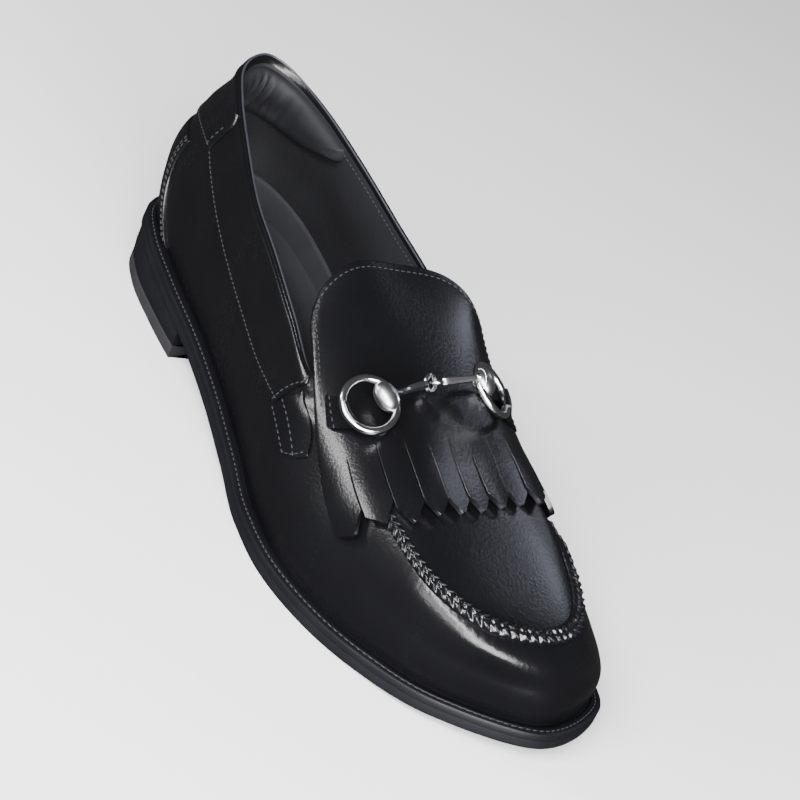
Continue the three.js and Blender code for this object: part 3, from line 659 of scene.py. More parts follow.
def slab(name, r, v, low, high, finishes, replaces=(), sharp=75.0):
    """A closed sheet over the upper between two offsets."""
    top, bottom = lift(r, v, high), lift(r, v, low)
    rows, columns = top.shape[:2]
    points = np.concatenate([top.reshape(-1, 3), bottom.reshape(-1, 3)])
    other = rows * columns
    under = grid_faces(rows, columns, other, flip=True)
    faces = np.concatenate([grid_faces(rows, columns), under, border_faces(rows, columns, other)])
    return piece_from(name, points, faces, finishes, replaces, sharp=sharp)


def shares(count, length, edge=0.9):
    """Shares from 0 to 1 with a few close together at both ends, for a rounded edge."""
    near = np.array([0, 0.08, 0.25, 0.55, 1.0]) * edge / length
    middle = np.linspace(near[-1], 1 - near[-1], count)[1:-1]
    return np.concatenate([near, middle, 1 - near[::-1]])


def quarter_round(distance, radius):
    """Height of a rounded edge, from 0 at the border to 1 at the radius inside it."""
    return np.sqrt(np.clip(1 - (1 - np.clip(distance / radius, 0, 1)) ** 2, 0, 1))


def rounded(u, w, length, height, edge=0.9):
    """Height of a sheet's face whose four edges are quarter rounds, from 0 to 1."""
    return quarter_round(np.minimum(np.minimum(u, 1 - u) * length, np.minimum(w, 1 - w) * height), edge)


def overlay(name, place, length, height, replaces, counts, thickness=None):
    """A thin piece of leather with rounded edges, laid on the upper."""
    thick = sizes().overlay * 1000 if thickness is None else thickness
    u, w = np.meshgrid(shares(counts[0], length), shares(counts[1], height), indexing="ij")
    r, v = place(u, w)
    face = 0.02 + thick * rounded(u, w, length, height)
    return slab(name, r, v, -0.5, face, ("leather",), replaces)


def stitch_tree():
    """Geometry nodes that lay rounded stitches along a line whose points know the leather's normal."""
    tree = bpy.data.node_groups.new("stitches_along_line", "GeometryNodeTree")
    for label, kind in (("Geometry", "Geometry"), ("Pitch", "Float"), ("Length", "Float"),
                        ("Thickness", "Float"), ("Turn", "Float"), ("Material", "Material")):
        tree.interface.new_socket(label, in_out="INPUT", socket_type=f"NodeSocket{kind}")
    tree.interface.new_socket("Geometry", in_out="OUTPUT", socket_type="NodeSocketGeometry")

    def node(kind, inputs=None, **settings):
        made = tree.nodes.new(kind)
        for key, value in settings.items():
            setattr(made, key, value)
        for key, value in (inputs or {}).items():
            if isinstance(value, bpy.types.NodeSocket):
                tree.links.new(value, made.inputs[key])
            else:
                made.inputs[key].default_value = value
        return made.outputs

    given = node("NodeGroupInput")
    curve = node("GeometryNodeMeshToCurve", {"Mesh": given["Geometry"]})
    even = node("GeometryNodeResampleCurve", {"Curve": curve[0], "Length": given["Pitch"]}, mode="LENGTH")
    up = node("GeometryNodeInputNamedAttribute", {"Name": "leather_normal"}, data_type="FLOAT_VECTOR")
    stand = node("FunctionNodeAlignRotationToVector", {"Vector": up["Attribute"]}, axis="Z")
    tangent = node("GeometryNodeInputTangent")
    aim = node("FunctionNodeAlignRotationToVector", {"Rotation": stand[0], "Vector": tangent[0]},
               axis="X", pivot_axis="Z")
    spin = node("FunctionNodeAxisAngleToRotation", {"Axis": (0, 0, 1), "Angle": given["Turn"]})
    turned = node("FunctionNodeRotateRotation", {"Rotation": aim[0], "Rotate By": spin[0]},
                  rotation_space="LOCAL")
    bead = node("GeometryNodeMeshUVSphere", {"Segments": 8, "Rings": 5, "Radius": 0.5})
    size = node("ShaderNodeCombineXYZ", {
        "X": given["Length"], "Y": given["Thickness"], "Z": given["Thickness"]})
    laid = node("GeometryNodeInstanceOnPoints", {
        "Points": even[0], "Instance": bead["Mesh"], "Rotation": turned[0], "Scale": size[0]})
    real = node("GeometryNodeRealizeInstances", {0: laid[0]})
    smooth = node("GeometryNodeSetShadeSmooth", {0: real[0]})
    coloured = node("GeometryNodeSetMaterial", {"Geometry": smooth[0], "Material": given["Material"]})
    node("NodeGroupOutput", {"Geometry": coloured[0]})
    return tree


def stitches(name, lines, key="thread", pitch=None, length=None, thickness=None, turn=0.0):
    """Sews along lines of (points, normals), in millimetres, and bakes the stitches to one mesh."""
    s = sizes()
    pitch = s.stitch_pitch if pitch is None else pitch / 1000
    thickness = s.thread if thickness is None else thickness / 1000
    length = pitch * 0.78 if length is None else length / 1000
    points, normals, edges = [], [], []
    for line, up in lines:
        start = len(points)
        points.extend(to_metres(line).tolist())
        normals.extend(np.asarray(up).tolist())
        edges.extend((k, k + 1) for k in range(start, len(points) - 1))
    mesh = bpy.data.meshes.new(name)
    mesh.from_pydata(points, edges, [])
    mesh.attributes.new("leather_normal", "FLOAT_VECTOR", "POINT").data.foreach_set(
        "vector", np.array(normals, dtype=np.float32).ravel())
    sewn = bpy.data.objects.new(name, mesh)
    bpy.context.scene.collection.objects.link(sewn)
    tree = bpy.data.node_groups.get("stitches_along_line") or stitch_tree()
    modifier = sewn.modifiers.new("Stitches", "NODES")
    modifier.node_group = tree
    wanted = {"Pitch": pitch, "Length": length, "Thickness": thickness, "Turn": turn,
              "Material": finish(key)}
    for item in tree.interface.items_tree:
        if item.in_out == "INPUT" and item.name in wanted:
            modifier[item.identifier] = wanted[item.name]
    depsgraph = bpy.context.evaluated_depsgraph_get()
    baked = bpy.data.meshes.new_from_object(sewn.evaluated_get(depsgraph), depsgraph=depsgraph)
    sewn.modifiers.clear()
    sewn.data = baked
    baked.name = name
    settle(sewn)


def ring_solid(name, profile, finishes, replaces=(), count=360, cut=False):
    """A closed plate round the sole, or round the heel with its hollow breast where cut is set.

    The rows of profile are an inset, a height over x and what is added to that height, from the
    middle of the underside, up the edge, to the middle of the top.
    """
    loops = []
    for d, height, add in profile:
        loop = heel_loop(d, count) if cut else inset(np.linspace(0, ROUND, count, endpoint=False), d)
        loop[:, 2] = height(loop[:, 0]) + add
        loops.append(loop)
    n = len(loops[0])
    faces = tube_faces(len(loops), n, flip=True)
    last = (len(loops) - 1) * n
    for k in range(n // 2):
        corners = [k, k + 1, (n - k - 1) % n, (n - k) % n]
        corners = [c for i, c in enumerate(corners) if c not in corners[:i]]
        if len(corners) > 2:
            faces.append(corners[::-1])
            faces.append([last + c for c in corners])
    return piece_from(name, np.concatenate(loops), faces, finishes, replaces, sharp=40.0)


def heel_loop(d, count):
    """Outline of the heel with the hollow breast, starting at the back, outer side first."""
    middle = BREAST_X + BREAST_RADIUS
    r = np.linspace(0, 4.2, 4000)
    sides, ends = [], []
    for sign in (1, -1):
        p = inset(sign * r, d)
        room = np.hypot(p[:, 0] - middle, p[:, 1]) - BREAST_RADIUS
        side = inset(sign * np.linspace(0, r[np.argmax(room < 0)], count // 3), d)
        sides.append(side)
        ends.append(math.atan2(side[-1, 1], side[-1, 0] - middle) % (2 * math.pi))
    angles = np.linspace(*ends, 33)[1:-1]
    breast = BREAST_RADIUS * np.stack([np.cos(angles), np.sin(angles), 0 * angles], -1) + [middle, 0, 0]
    return np.concatenate([sides[0], breast, sides[1][:0:-1]])


def floor_height(x):
    return 0 * x


def plate_top(x):
    return sole_height(x) + OUTSOLE


def welt_top(x):
    return plate_top(x) + CLEARANCE + WELT


def heel_top(x):
    return np.maximum(sole_height(x) - 0.15, TOP_LIFT + 1)


def insole_top(x):
    return plate_top(x) + CLEARANCE + INSOLE_RISE


def build_bottom():
    """The sole plate, the welt with its stitches, the stacked heel and its rubber piece."""
    ring_solid("sole_leather_plate", [
        (1.2, sole_height, 0), (0.45, sole_height, 0), (0.12, sole_height, 0.3), (0.0, sole_height, 0.9),
        (-0.05, sole_height, 1.9), (0.0, sole_height, 3.0), (0.03, plate_top, -0.05),
        (0.2, plate_top, 0), (1.4, plate_top, 0)], ("outsole",), ("outsole",))
    ring_solid("welt_strip", [
        (8.0, plate_top, 0.02), (0.5, plate_top, 0.02), (0.05, plate_top, 0.07), (0.0, welt_top, -0.9),
        (0.3, welt_top, -0.25), (0.9, welt_top, 0), (1.75, welt_top, 0), (1.95, welt_top, -0.3),
        (2.6, welt_top, -0.35), (2.8, welt_top, 0), (3.6, welt_top, 0), (4.1, welt_top, -0.5),
        (8.0, welt_top, -0.5)], ("welt",), ("welt",), count=420)
    line = inset(np.linspace(0, ROUND, 900), 2.28)
    line[:, 2] = welt_top(line[:, 0]) - 0.12
    up = np.tile([0.0, 0.0, 1.0], (len(line), 1))
    stitches("welt_stitches", [(line, up)], pitch=2.6, length=2.1, thickness=0.7)

    low = TOP_LIFT + 0.15
    profile = [(3.0, floor_height, low), (1.75, floor_height, low)]
    for d, share in ((1.65, 0.0), (1.3, 0.35), (1.28, 0.65), (1.4, 0.99)):
        start = TOP_LIFT + 0.3
        profile.append((d - 0.55 * share, lambda x, s=share, z=start: z + (heel_top(x) - z) * s, 0))
    profile += [(1.2, heel_top, 0), (3.0, heel_top, 0)]
    ring_solid("heel_block", profile, ("heel",), ("heel_stack",), count=240, cut=True)
    rows = ((3.0, 0), (2.1, 0), (1.85, 0.25), (1.75, 0.8), (1.7, 4.3), (1.8, 4.75), (2.1, TOP_LIFT),
            (3.0, TOP_LIFT))
    ring_solid("heel_rubber_piece", [(d, floor_height, z) for d, z in rows], ("rubber",),
               ("heel_top_lift",), count=240, cut=True)


def upper_relief(r, v):
    """Low forms of the outer face: gathers under the apron seam, the sunk apron and soft creases."""
    p = surface(r, v)
    _, up = slopes(r, v)
    below = (0.5 - v) * np.linalg.norm(up, axis=-1)
    front = np.clip((np.minimum(r - 8.75, 15.35 - r)) / 0.35, 0, 1)
    pitch = sizes().pucker_pitch * 1000
    along = seam_arc(r)
    gather = np.cos(2 * np.pi * along / pitch) * np.exp(-np.clip(below - 1.2, 0, 99) / 2.6) * (below > -0.5)
    apron = np.clip(-below / 1.5, 0, 1) * -0.25
    wave = np.sin((p[..., 0] * 0.9 + p[..., 2] * 0.5) / 5.5)
    crease = 0.22 * wave * np.exp(-(((p[..., 0] - 128) / 30) ** 2))
    quarter = np.clip(1 - np.abs(v - 0.45) / 0.35, 0, 1)
    feather = -0.5 * np.exp(-((v * 40) ** 2) / 2)
    return front * (0.2 * gather + apron) + crease * quarter * 0.5 + feather


SEAM_R = np.linspace(8.0, 16.0, 1600)
SEAM_S = np.concatenate([[0], np.cumsum(np.linalg.norm(np.diff(surface(SEAM_R, 0.5), axis=0), axis=1))])


def seam_arc(r):
    """Length along the apron seam at the section number r."""
    return np.interp(r, SEAM_R, SEAM_S)


def build_upper():
    """The shell of the upper: outer face, rolled topline and lining, closed at the feather line."""
    rows = 432
    spans = ((0, 0.4, 22), (0.4, 0.62, 34), (0.62, 1, 20))
    levels = np.concatenate([[0]] + [np.linspace(*span)[1:] for span in spans])
    r, v = np.meshgrid(np.linspace(0, ROUND, rows, endpoint=False), levels, indexing="ij")
    outer = lift(r, v, upper_relief(r, v))
    turn = np.linspace(0, np.pi, 7)[None, 1:-1, None]
    edge, one = r[:, :1], np.ones((rows, 1))
    _, up = slopes(edge, one)
    up /= np.linalg.norm(up, axis=-1, keepdims=True)
    half = UPPER_WALL / 2
    out = normal_at(edge, one)
    roll = lift(edge, one, -half) + half * (out * np.cos(turn) + up * np.sin(turn))
    inner = lift(*np.meshgrid(r[:, 0], np.linspace(1, 0, 34), indexing="ij"), -UPPER_WALL)
    grid = np.concatenate([outer, roll, inner], axis=1)
    columns = grid.shape[1]
    grid[:, [0, -1], 2] = feather_height(grid[:, [0, -1], 0]) - 0.25
    first = np.arange(rows) * columns
    after = np.roll(first, -1)
    close = np.stack([first + columns - 1, after + columns - 1, after, first], -1)
    lined = (np.arange(columns - 1) >= outer.shape[1] + roll.shape[1] + 1).astype(int)
    faces = np.concatenate([grid_faces(rows, columns, 0, True), close])
    lined = np.concatenate([np.tile(lined, rows), np.ones(rows, int)])
    piece_from("upper_shell", grid.reshape(-1, 3), faces, ("leather", "lining"), ("upper",),
               lined, sharp=60.0)


def tube_along(name, line, up, radius, finishes, sides=10):
    """A round cord along a line of points."""
    tangent = np.gradient(line, axis=0)
    tangent /= np.linalg.norm(tangent, axis=1, keepdims=True)
    side = np.cross(tangent, up)
    side /= np.linalg.norm(side, axis=1, keepdims=True)
    turn = np.linspace(0, 2 * np.pi, sides, endpoint=False)[None, :, None]
    lifted = np.cross(side, tangent)
    ring = line[:, None] + radius * (side[:, None] * np.cos(turn) + lifted[:, None] * np.sin(turn))
    faces = tube_faces(len(line), sides, flip=True, caps=True)
    return piece_from(name, ring.reshape(-1, 3), faces, finishes)


def build_inside():
    """Insole, sock, lining cup, heel pad, the piping along the topline and the tongue."""
    rim = WELT_WIDTH + UPPER_WALL + 0.35
    ring_solid("insole_board", [
        (rim + 2, insole_top, -3.4), (rim + 0.1, insole_top, -3.4), (rim, insole_top, -3.0),
        (rim, insole_top, -0.2), (rim + 0.4, insole_top, 0), (rim + 2, insole_top, 0)],
        ("lining",), ("insole",))
    profile = [(rim + 3.5, insole_top, 0.15), (rim + 0.9, insole_top, 0.15), (rim + 0.6, insole_top, 3.15)]
    for q in np.linspace(0, 1, 10):
        cove = 0.15 + 5.0 * (1 - q) ** 2.4
        profile.append((rim + 0.7 + 8.3 * q, insole_top, cove + 0.9 - 0.3 * (q == 0)))
    profile.append((rim + 14, insole_top, 1.0))
    ring_solid("insole_sock", profile, ("sock",))

    u, w = np.meshgrid(np.linspace(0, 1, 240), shares(14, 12, 1.0), indexing="ij")
    cup = 0.3 * (1 - np.abs(2 * u - 1) ** 3 * 0.6)
    face = -(UPPER_WALL + 0.2 + rounded(u, w, 200, 12, 1.0))
    slab("lining_cup", (2 * u - 1) * 8.0, 0.02 + (cup - 0.02) * w, face, -UPPER_WALL + 0.3, ("sock",))
    build_heel_pad()

    ends = np.linspace(-5.8, 5.8, 500)
    line = lift(ends, 0.93 + 0 * ends, -(UPPER_WALL + 0.1))
    stitches("lining_stitches", [(line, -normal_at(ends, 0.93 + 0 * ends))])
    t = np.linspace(-7.1, 7.1, 700)
    _, up = slopes(t, 1.0)
    up /= np.linalg.norm(up, axis=-1, keepdims=True)
    line = lift(t, 1.0 + 0 * t, -UPPER_WALL + 0.15) + up * 0.55
    # The piping's lighter colour is a painted highlight along the topline
    tube_along("topline_piping", line, normal_at(t, 1.0 + 0 * t), 0.45, ("binding",))
    build_tongue()


def build_heel_pad():
    """The padded collar lining at the heel, with folds that fan out from its middle."""
    u, w = np.meshgrid(np.linspace(0, 1, 180), np.linspace(0, 1, 56), indexing="ij")
    side = np.abs(2 * u - 1)
    top = 0.955
    low = 0.66 + 0.22 * side**4
    rim = np.minimum(np.minimum(u, 1 - u) * 95, np.minimum(w, 1 - w) * (top - low) * 80)
    fan = np.sin(40 * (2 * u - 1) + 3 * w) * np.exp(-((side / 0.42) ** 2))
    folds = 0.9 * fan * np.sin(np.pi * w) ** 0.7 + 0.3 * np.sin(23 * u + 6 * w) * np.sin(np.pi * w)
    puffed = -(UPPER_WALL + 0.1 + quarter_round(rim, 7.5) * (4.6 + folds))
    pad = slab("heel_pad", (2 * u - 1) * 2.5, low + (top - low) * w, puffed, -UPPER_WALL + 0.3, ("lining",),
               sharp=70.0)


def build_tongue():
    """The tongue under the kiltie."""
    length, height = 60, 50
    u, w = np.meshgrid(shares(40, length, 1.2), shares(40, height, 1.2), indexing="ij")
    side = 0.08 + 0.84 * u
    front = 190.0
    r, v = kiltie_place(side, front + (kiltie_back(side) + 3.0 - front) * w)
    tuck = -UPPER_WALL - 0.45
    face = tuck + (0.5 - tuck) * np.clip((v - 1.05) / 0.1, 0, 1)
    swell = rounded(u, w, length, height, 1.2)
    slab("tongue_lining", r, v, face - 1.0 - swell, face - 0.4 + 0.4 * swell, ("lining",),
         ("tongue",))


def build_kiltie():
    """The kiltie and its fringe: a sheet that ends in pointed strips, each lying over the last."""
    thick, count = sizes().kiltie * 1000, sizes().strips
    wide, strip_wide, strip_long, point = 80, 8.5, 33, 7.0
    body_rows = np.concatenate([[0, 0.002, 0.006, 0.012], np.linspace(0.04, 1, 44)])
    fall_rows = np.concatenate([np.linspace(0, 0.88, 18), [0.93, 0.97, 0.985, 0.994, 1.0]])
    t = np.concatenate([[0, 0.01, 0.025, 0.05], np.linspace(0.15, 0.85, 6), [0.95, 0.975, 0.99, 1.0]])
    parts = []
    for k in range(count):
        u, w = np.meshgrid((k + t) / count, body_rows, indexing="ij")
        x = kiltie_back(u) + (fringe_root(u) - kiltie_back(u)) * w
        rim = np.minimum(np.minimum(u, 1 - u) * wide, (x - kiltie_back(u)) * 0.9)
        soft = 0.6 + 0.4 * quarter_round(rim, 0.7)
        parts.append((on_sheet(u, x, KILTIE_LIFT + thick * soft)[0], on_sheet(u, x, KILTIE_LIFT)[0],
                      (k == 0, k == count - 1, True, False)))

        tt, fall = np.meshgrid(t, fall_rows, indexing="ij")
        u = (k + tt) / count
        root, tip = fringe_root(u), fringe_tip((k + 0.5) / count)
        x = root + (tip - root) * fall * (1 - point / strip_long * np.abs(2 * tt - 1) * fall)
        grow = np.clip(fall * 2.5, 0, 1)
        raised = KILTIE_LIFT + 0.45 * grow * (1 - tt) + 0.3 * fall**2 * (1 + math.sin(2.3 * k + 1))
        rim = np.minimum(np.minimum(tt, 1 - tt) * strip_wide, (1 - fall) * strip_long)
        soft = 1 - 0.22 * grow * (1 - quarter_round(rim, 0.22))
        parts.append((on_sheet(u, x, raised + thick * soft)[0], on_sheet(u, x, raised)[0],
                      (True, True, False, True)))
    points, faces, start = [], [], 0
    for top, bottom, closed in parts:
        rows, columns = top.shape[:2]
        other = rows * columns
        points += [top.reshape(-1, 3), bottom.reshape(-1, 3)]
        faces += [grid_faces(rows, columns, start), grid_faces(rows, columns, start + other, flip=True)]
        quads = border_faces(rows, columns, other)
        i, j = quads % other // columns, quads % columns
        sides = (i == 0, i == rows - 1, j == 0, j == columns - 1)
        keep = np.any([side.all(axis=1) & wanted for side, wanted in zip(sides, closed)], axis=0)
        faces.append(quads[keep] + start)
        start += 2 * other
    kiltie = piece_from("kiltie_leather", np.concatenate(points), np.concatenate(faces), ("leather",),
                        ("kiltie",))
    rework(kiltie, lambda bm: bmesh.ops.remove_doubles(bm, verts=bm.verts, dist=1e-6))
    kiltie.data.shade_smooth()
    kiltie.data.set_sharp_from_angle(angle=math.radians(62.0))


def rework(piece, work):
    """Runs one operation on all of a piece's mesh."""
    bm = bmesh.new()
    bm.from_mesh(piece.data)
    work(bm)
    bm.to_mesh(piece.data)
    bm.free()


# Ends of the apron seam, as section numbers
SEAM_START = 8.95
SEAM_END = 15.12


def seam_taper(r, least):
    """Height of the apron seam towards its ends, as a share."""
    return np.clip(np.minimum(r - SEAM_START, SEAM_END - r) / 0.4, least, 1)


def heel_section(arc, v):
    """Section number at an arc from the middle of the heel, at the level v."""
    return arc / np.linalg.norm(slopes(0 * v, v)[0], axis=-1)


def build_seams():
    """The gathered apron seam round the toe, and the plaited piece at the heel."""
    u, w = np.meshgrid(np.linspace(0, 1, 560), np.linspace(0, 1, 22), indexing="ij")
    r = SEAM_START + u * (SEAM_END - SEAM_START)
    _, up = slopes(r, 0.5 + 0 * r)
    wide = 6.4
    v = 0.5 + (w - 0.5) * wide / np.linalg.norm(up, axis=-1)
    pitch = sizes().pucker_pitch * 1000
    phase = 2 * np.pi * seam_arc(r) / pitch
    lobes = np.abs(np.sin(np.pi * w * 2)) ** 0.55
    uneven = np.sin(0.37 * phase + 1) * np.sin(0.83 * phase + 5 * w) + 0.6 * np.sin(2.3 * phase + 9 * w)
    lump = 1 + (0.24 * np.cos(phase + 2.2 * w) + 0.11 * uneven) * lobes
    body = np.sin(np.pi * w) ** 0.5 * (0.75 + 0.25 * lobes)
    slab("apron_seam_ridge", r, v, -0.4, 0.02 + 2.0 * body * lump * seam_taper(r, 0.25), ("seam_leather",),
         ("apron_seam",), sharp=80.0)
    t = np.linspace(9.0, 15.1, 700)
    _, up = slopes(t, 0.5 + 0 * t)
    step = 1 / np.linalg.norm(up, axis=-1)
    for side, away, turn in (("inner", 1.5, 0.6), ("outer", -1.4, -0.75)):
        line = lift(t, 0.5 + away * step, 1.75 * seam_taper(t, 0.3))
        stitches(f"apron_seam_stitches_{side}", [(line, normal_at(t, 0.5 + 0 * t))],
                 "dark_thread", pitch=pitch, length=3.7, thickness=1.0, turn=turn)

    u, w = np.meshgrid(np.linspace(0, 1, 40), np.linspace(0, 1, 90), indexing="ij")
    v = 0.25 + 0.35 * w
    plait = 0.3 * np.cos(w * 34 + np.pi * np.abs(2 * u - 1) * 2.2)
    high = 0.4 + (2.6 + plait) * np.sin(np.pi * u) ** 0.7 * np.sin(np.pi * w) ** 0.35
    slab("heel_plait", (2 * u - 1) * heel_section(8.0, v), v, -0.4, high, ("seam_leather",),
         ("heel_seam",), sharp=80.0)
    v = np.linspace(0.262, 0.588, 160)
    for side, sign in (("outer", -1), ("inner", 1)):
        r = heel_section(sign * 3.2, v)
        stitches(f"heel_plait_loops_{side}", [(lift(r, v, 2.9), normal_at(r, v))],
                 "dark_thread", pitch=3.4, length=7.2, thickness=2.2, turn=-0.9 * sign)


TAB_END = 2.35


def counter_edge(v):
    return 1.75 + 0.8 * np.clip(1 - v / 0.35, 0, 1) ** 2


def band_low(r):
    return 0.72 - 0.27 * np.clip((r - TAB_END) / 4.15, 0, 1) ** 0.8


def counter_place(u, w):
    v = 0.03 + 0.57 * w
    near = heel_section(8.2, v) + 0.05
    return near + (counter_edge(v) - near) * u, v


def band_place(u, w):
    r = TAB_END + 0.02 + (6.5 + 0.5 * w - TAB_END - 0.02) * u
    low = band_low(r)
    return r, low + (0.992 - low) * w


def tab_place(u, w):
    start = 6.46 + 0.5 * w
    end = 7.22 + 0.3 * w - 0.22 * (2 * w - 1) ** 4
    low, high = 0.42 - 0.08 * u, 0.82 - 0.4 * u
    return start + (end - start) * u, low + (high - low) * w


def back_tab_place(u, w):
    r = (2 * u - 1) * TAB_END
    low = 0.64 + 0.08 * (r / TAB_END) ** 2
    return r, low + (0.995 - low) * w


def on_side(place, sign):
    """The same place on the outer side for 1, or mirrored to the inner side for -1."""
    def mirrored(u, w):
        r, v = place(u if sign > 0 else 1 - u, w)
        return sign * r, v
    return mirrored


def build_overlays():
    """Counters, collar bands, side tabs and the back tab, with their rows of stitches."""
    rows = []
    top = sizes().overlay * 1000 + 0.05

    def sew(place, u, w, count, height=top):
        """A row of stitches between two places, each a number or a pair of ends."""
        u, w = (np.linspace(*(np.broadcast_to(ends, 2)), count) for ends in (u, w))
        r, v = place(u, w)
        rows.append((lift(r, v, height), normal_at(r, v)))

    for side, sign in (("lateral", 1), ("medial", -1)):
        counter, band, tab = (on_side(place, sign) for place in (counter_place, band_place, tab_place))
        overlay(f"counter_{side}", counter, 44, 36, (f"heel_counter_{side}",), (40, 40))
        overlay(f"collar_{side}", band, 132, 24, (f"collar_band_{side}",), (110, 16))
        overlay(f"tab_{side}", tab, 28, 20, (f"side_tab_{side}",), (30, 20))
        for place, u, w, count in (
                (counter_place, 0.955, (0.03, 0.97), 200), (counter_place, 0.895, (0.03, 0.97), 200),
                (band_place, (0.01, 0.985), 0.085, 400), (band_place, 0.985, (0.06, 0.94), 80),
                (tab_place, (0.06, 0.92), 0.08, 80), (tab_place, (0.06, 0.92), 0.3, 80),
                (tab_place, 0.93, (0.08, 0.55), 40)):
            sew(lambda u, w: (sign * place(u, w)[0], place(u, w)[1]), u, w, count)

    thick = sizes().overlay * 1000 + 0.35
    overlay("back_tab_leather", back_tab_place, 92, 22, ("back_tab",), (90, 14), thick)
    sew(back_tab_place, (0.02, 0.98), 0.09, 300, thick + 0.03)
    for end in (0.025, 0.975):
        sew(back_tab_place, end, (0.1, 0.5), 40, thick + 0.03)
    stitches("upper_stitches", rows)

    height = KILTIE_LIFT + sizes().kiltie * 1000 + 0.02
    q = np.linspace(0.035, 0.965, 400)
    edge = [on_sheet(q, kiltie_back(q) + 2.6, height)]
    for u in (0.033, 0.967):
        edge.append(on_sheet(u, np.linspace(float(kiltie_back(u)) + 2.8, 186, 60), height))
    stitches("kiltie_stitches", edge)


def basis(x, z):
    """Columns of a turn whose first axis is x and whose last is z."""
    x = x / np.linalg.norm(x)
    z = z - x * (z @ x)
    z /= np.linalg.norm(z)
    return np.stack([x, np.cross(z, x), z], 1)


def revolve(profile, sides):
    """Points and faces of a solid of revolution about X from rows of (along, radius)."""
    along, radius = np.transpose(profile)
    turn = np.linspace(0, 2 * np.pi, sides, endpoint=False)
    points = np.stack([np.repeat(along, sides), np.outer(radius, np.cos(turn)).ravel(),
                       np.outer(radius, np.sin(turn)).ravel()], -1)
    return points, tube_faces(len(profile), sides, caps=True)


def hoop(diameter, wire, count=96, sides=20):
    """Points and faces of a ring about Z."""
    a = np.linspace(0, 2 * np.pi, count, endpoint=False)
    b = np.linspace(0, 2 * np.pi, sides, endpoint=False)
    reach = (diameter - wire) / 2 + wire / 2 * np.cos(b)
    points = np.stack([np.outer(np.cos(a), reach).ravel(), np.outer(np.sin(a), reach).ravel(),
                       np.tile(wire / 2 * np.sin(b), count)], -1)
    return points, tube_faces(count, sides, loop=True)


def join(parts):
    """One list of points and one of faces from several."""
    faces, start = [], 0
    for points, part in parts:
        faces += [[n + start for n in quad] for quad in part]
        start += len(points)
    return np.concatenate([points for points, _ in parts]), faces


def make_dome(turn, place):
    """The egg that clips the bar on its ring, and the rim round it."""
    rings, sides = 29, 44
    turns = np.linspace(0, 2 * np.pi, sides, endpoint=False)
    a, b = np.meshgrid(np.linspace(0, np.pi, rings), turns, indexing="ij")
    egg = np.stack([4.0 * np.cos(a), (5.4 - 0.5 * np.cos(a)) * np.sin(a) * np.cos(b),
                    3.5 * np.sin(a) * np.sin(b)], -1).reshape(-1, 3)
    lip, lip_faces = hoop(2.0, 0.75, 72, 12)
    reach = np.linalg.norm(lip[:, :2], axis=1)
    radial = lip[:, :2] / reach[:, None]
    lip = np.stack([2.5 + lip[:, 2], radial[:, 0] * (3.33 + reach), radial[:, 1] * (1.83 + reach)], -1)
    return (egg @ turn.T + place, tube_faces(rings, sides)), (lip @ turn.T + place, lip_faces)


def make_bar(foot, middle, normal, flat_loop):
    """The bar from its dome towards the middle, and the loop at its end."""
    reach = middle - foot
    length = np.linalg.norm(reach)
    end = length - 4.0
    points, faces = revolve([(-1.0, 0.05), (-0.9, 1.6), (0.3, 1.5), (0.7, 1.15), (end * 0.5, 1.3),
                             (end * 0.85, 1.5), (end, 1.5), (end + 0.6, 1.2), (end + 0.8, 0.05)], 8)
    loop, loop_faces = hoop(6.8 if flat_loop else 5.6, 1.5, 56, 14)
    facing = normal + np.array([1.1, 0, 0])
    turn = basis(reach, facing if flat_loop else np.cross(reach, facing))
    centre = foot + reach / length * (end + (3.0 if flat_loop else 2.4))
    return (points @ basis(reach, normal).T + foot, faces), (loop @ turn.T + centre, loop_faces)


def build_bit():
    """Two rings held by leather straps, and two bars that meet in loops at the middle."""
    ring, wire = sizes().ring * 1000, sizes().wire * 1000
    face = KILTIE_GAP + 1.6
    joint_normal = normal_at(*JOINT_SEAT)
    middle = surface(*JOINT_SEAT) + joint_normal * (face + 3.7)
    held = []
    for side, share, setback in (("lateral", 0.05, 9.5), ("medial", 0.95, 1.0)):
        seat = RING_SEATS[side]
        normal = normal_at(*seat)
        centre = surface(*seat) + normal * (face + RING_RISE[side])
        lean = normal + np.array(RING_TILT[side])
        lean /= np.linalg.norm(lean)
        inwards = middle - centre
        inwards -= lean * (inwards @ lean)
        inwards /= np.linalg.norm(inwards)
        turn = basis(inwards, lean)
        points, faces = hoop(ring, wire)
        piece_from(f"bit_hoop_{side}", points @ turn.T + centre, faces, ("metal",),
                   (f"bit_ring_{side}",), sharp=70.0)
        bead = centre + inwards * ((ring - wire) / 2 - 2.8) + lean * 0.7
        dome = make_dome(turn, bead)
        bar = make_bar(bead + inwards * 3.6, middle, joint_normal, side == "lateral")
        points, faces = join([*dome, *bar])
        satin = (np.arange(len(faces)) < len(dome[0][1])).astype(int)
        piece_from(f"bit_arm_{side}", points, faces, ("metal", "satin_metal"),
                   (f"bit_bar_{side}",), satin, sharp=40.0)
        held.append((side, share, setback, centre, inwards, lean))
    stitches("bit_strap_stitches", [build_strap(*hold) for hold in held])


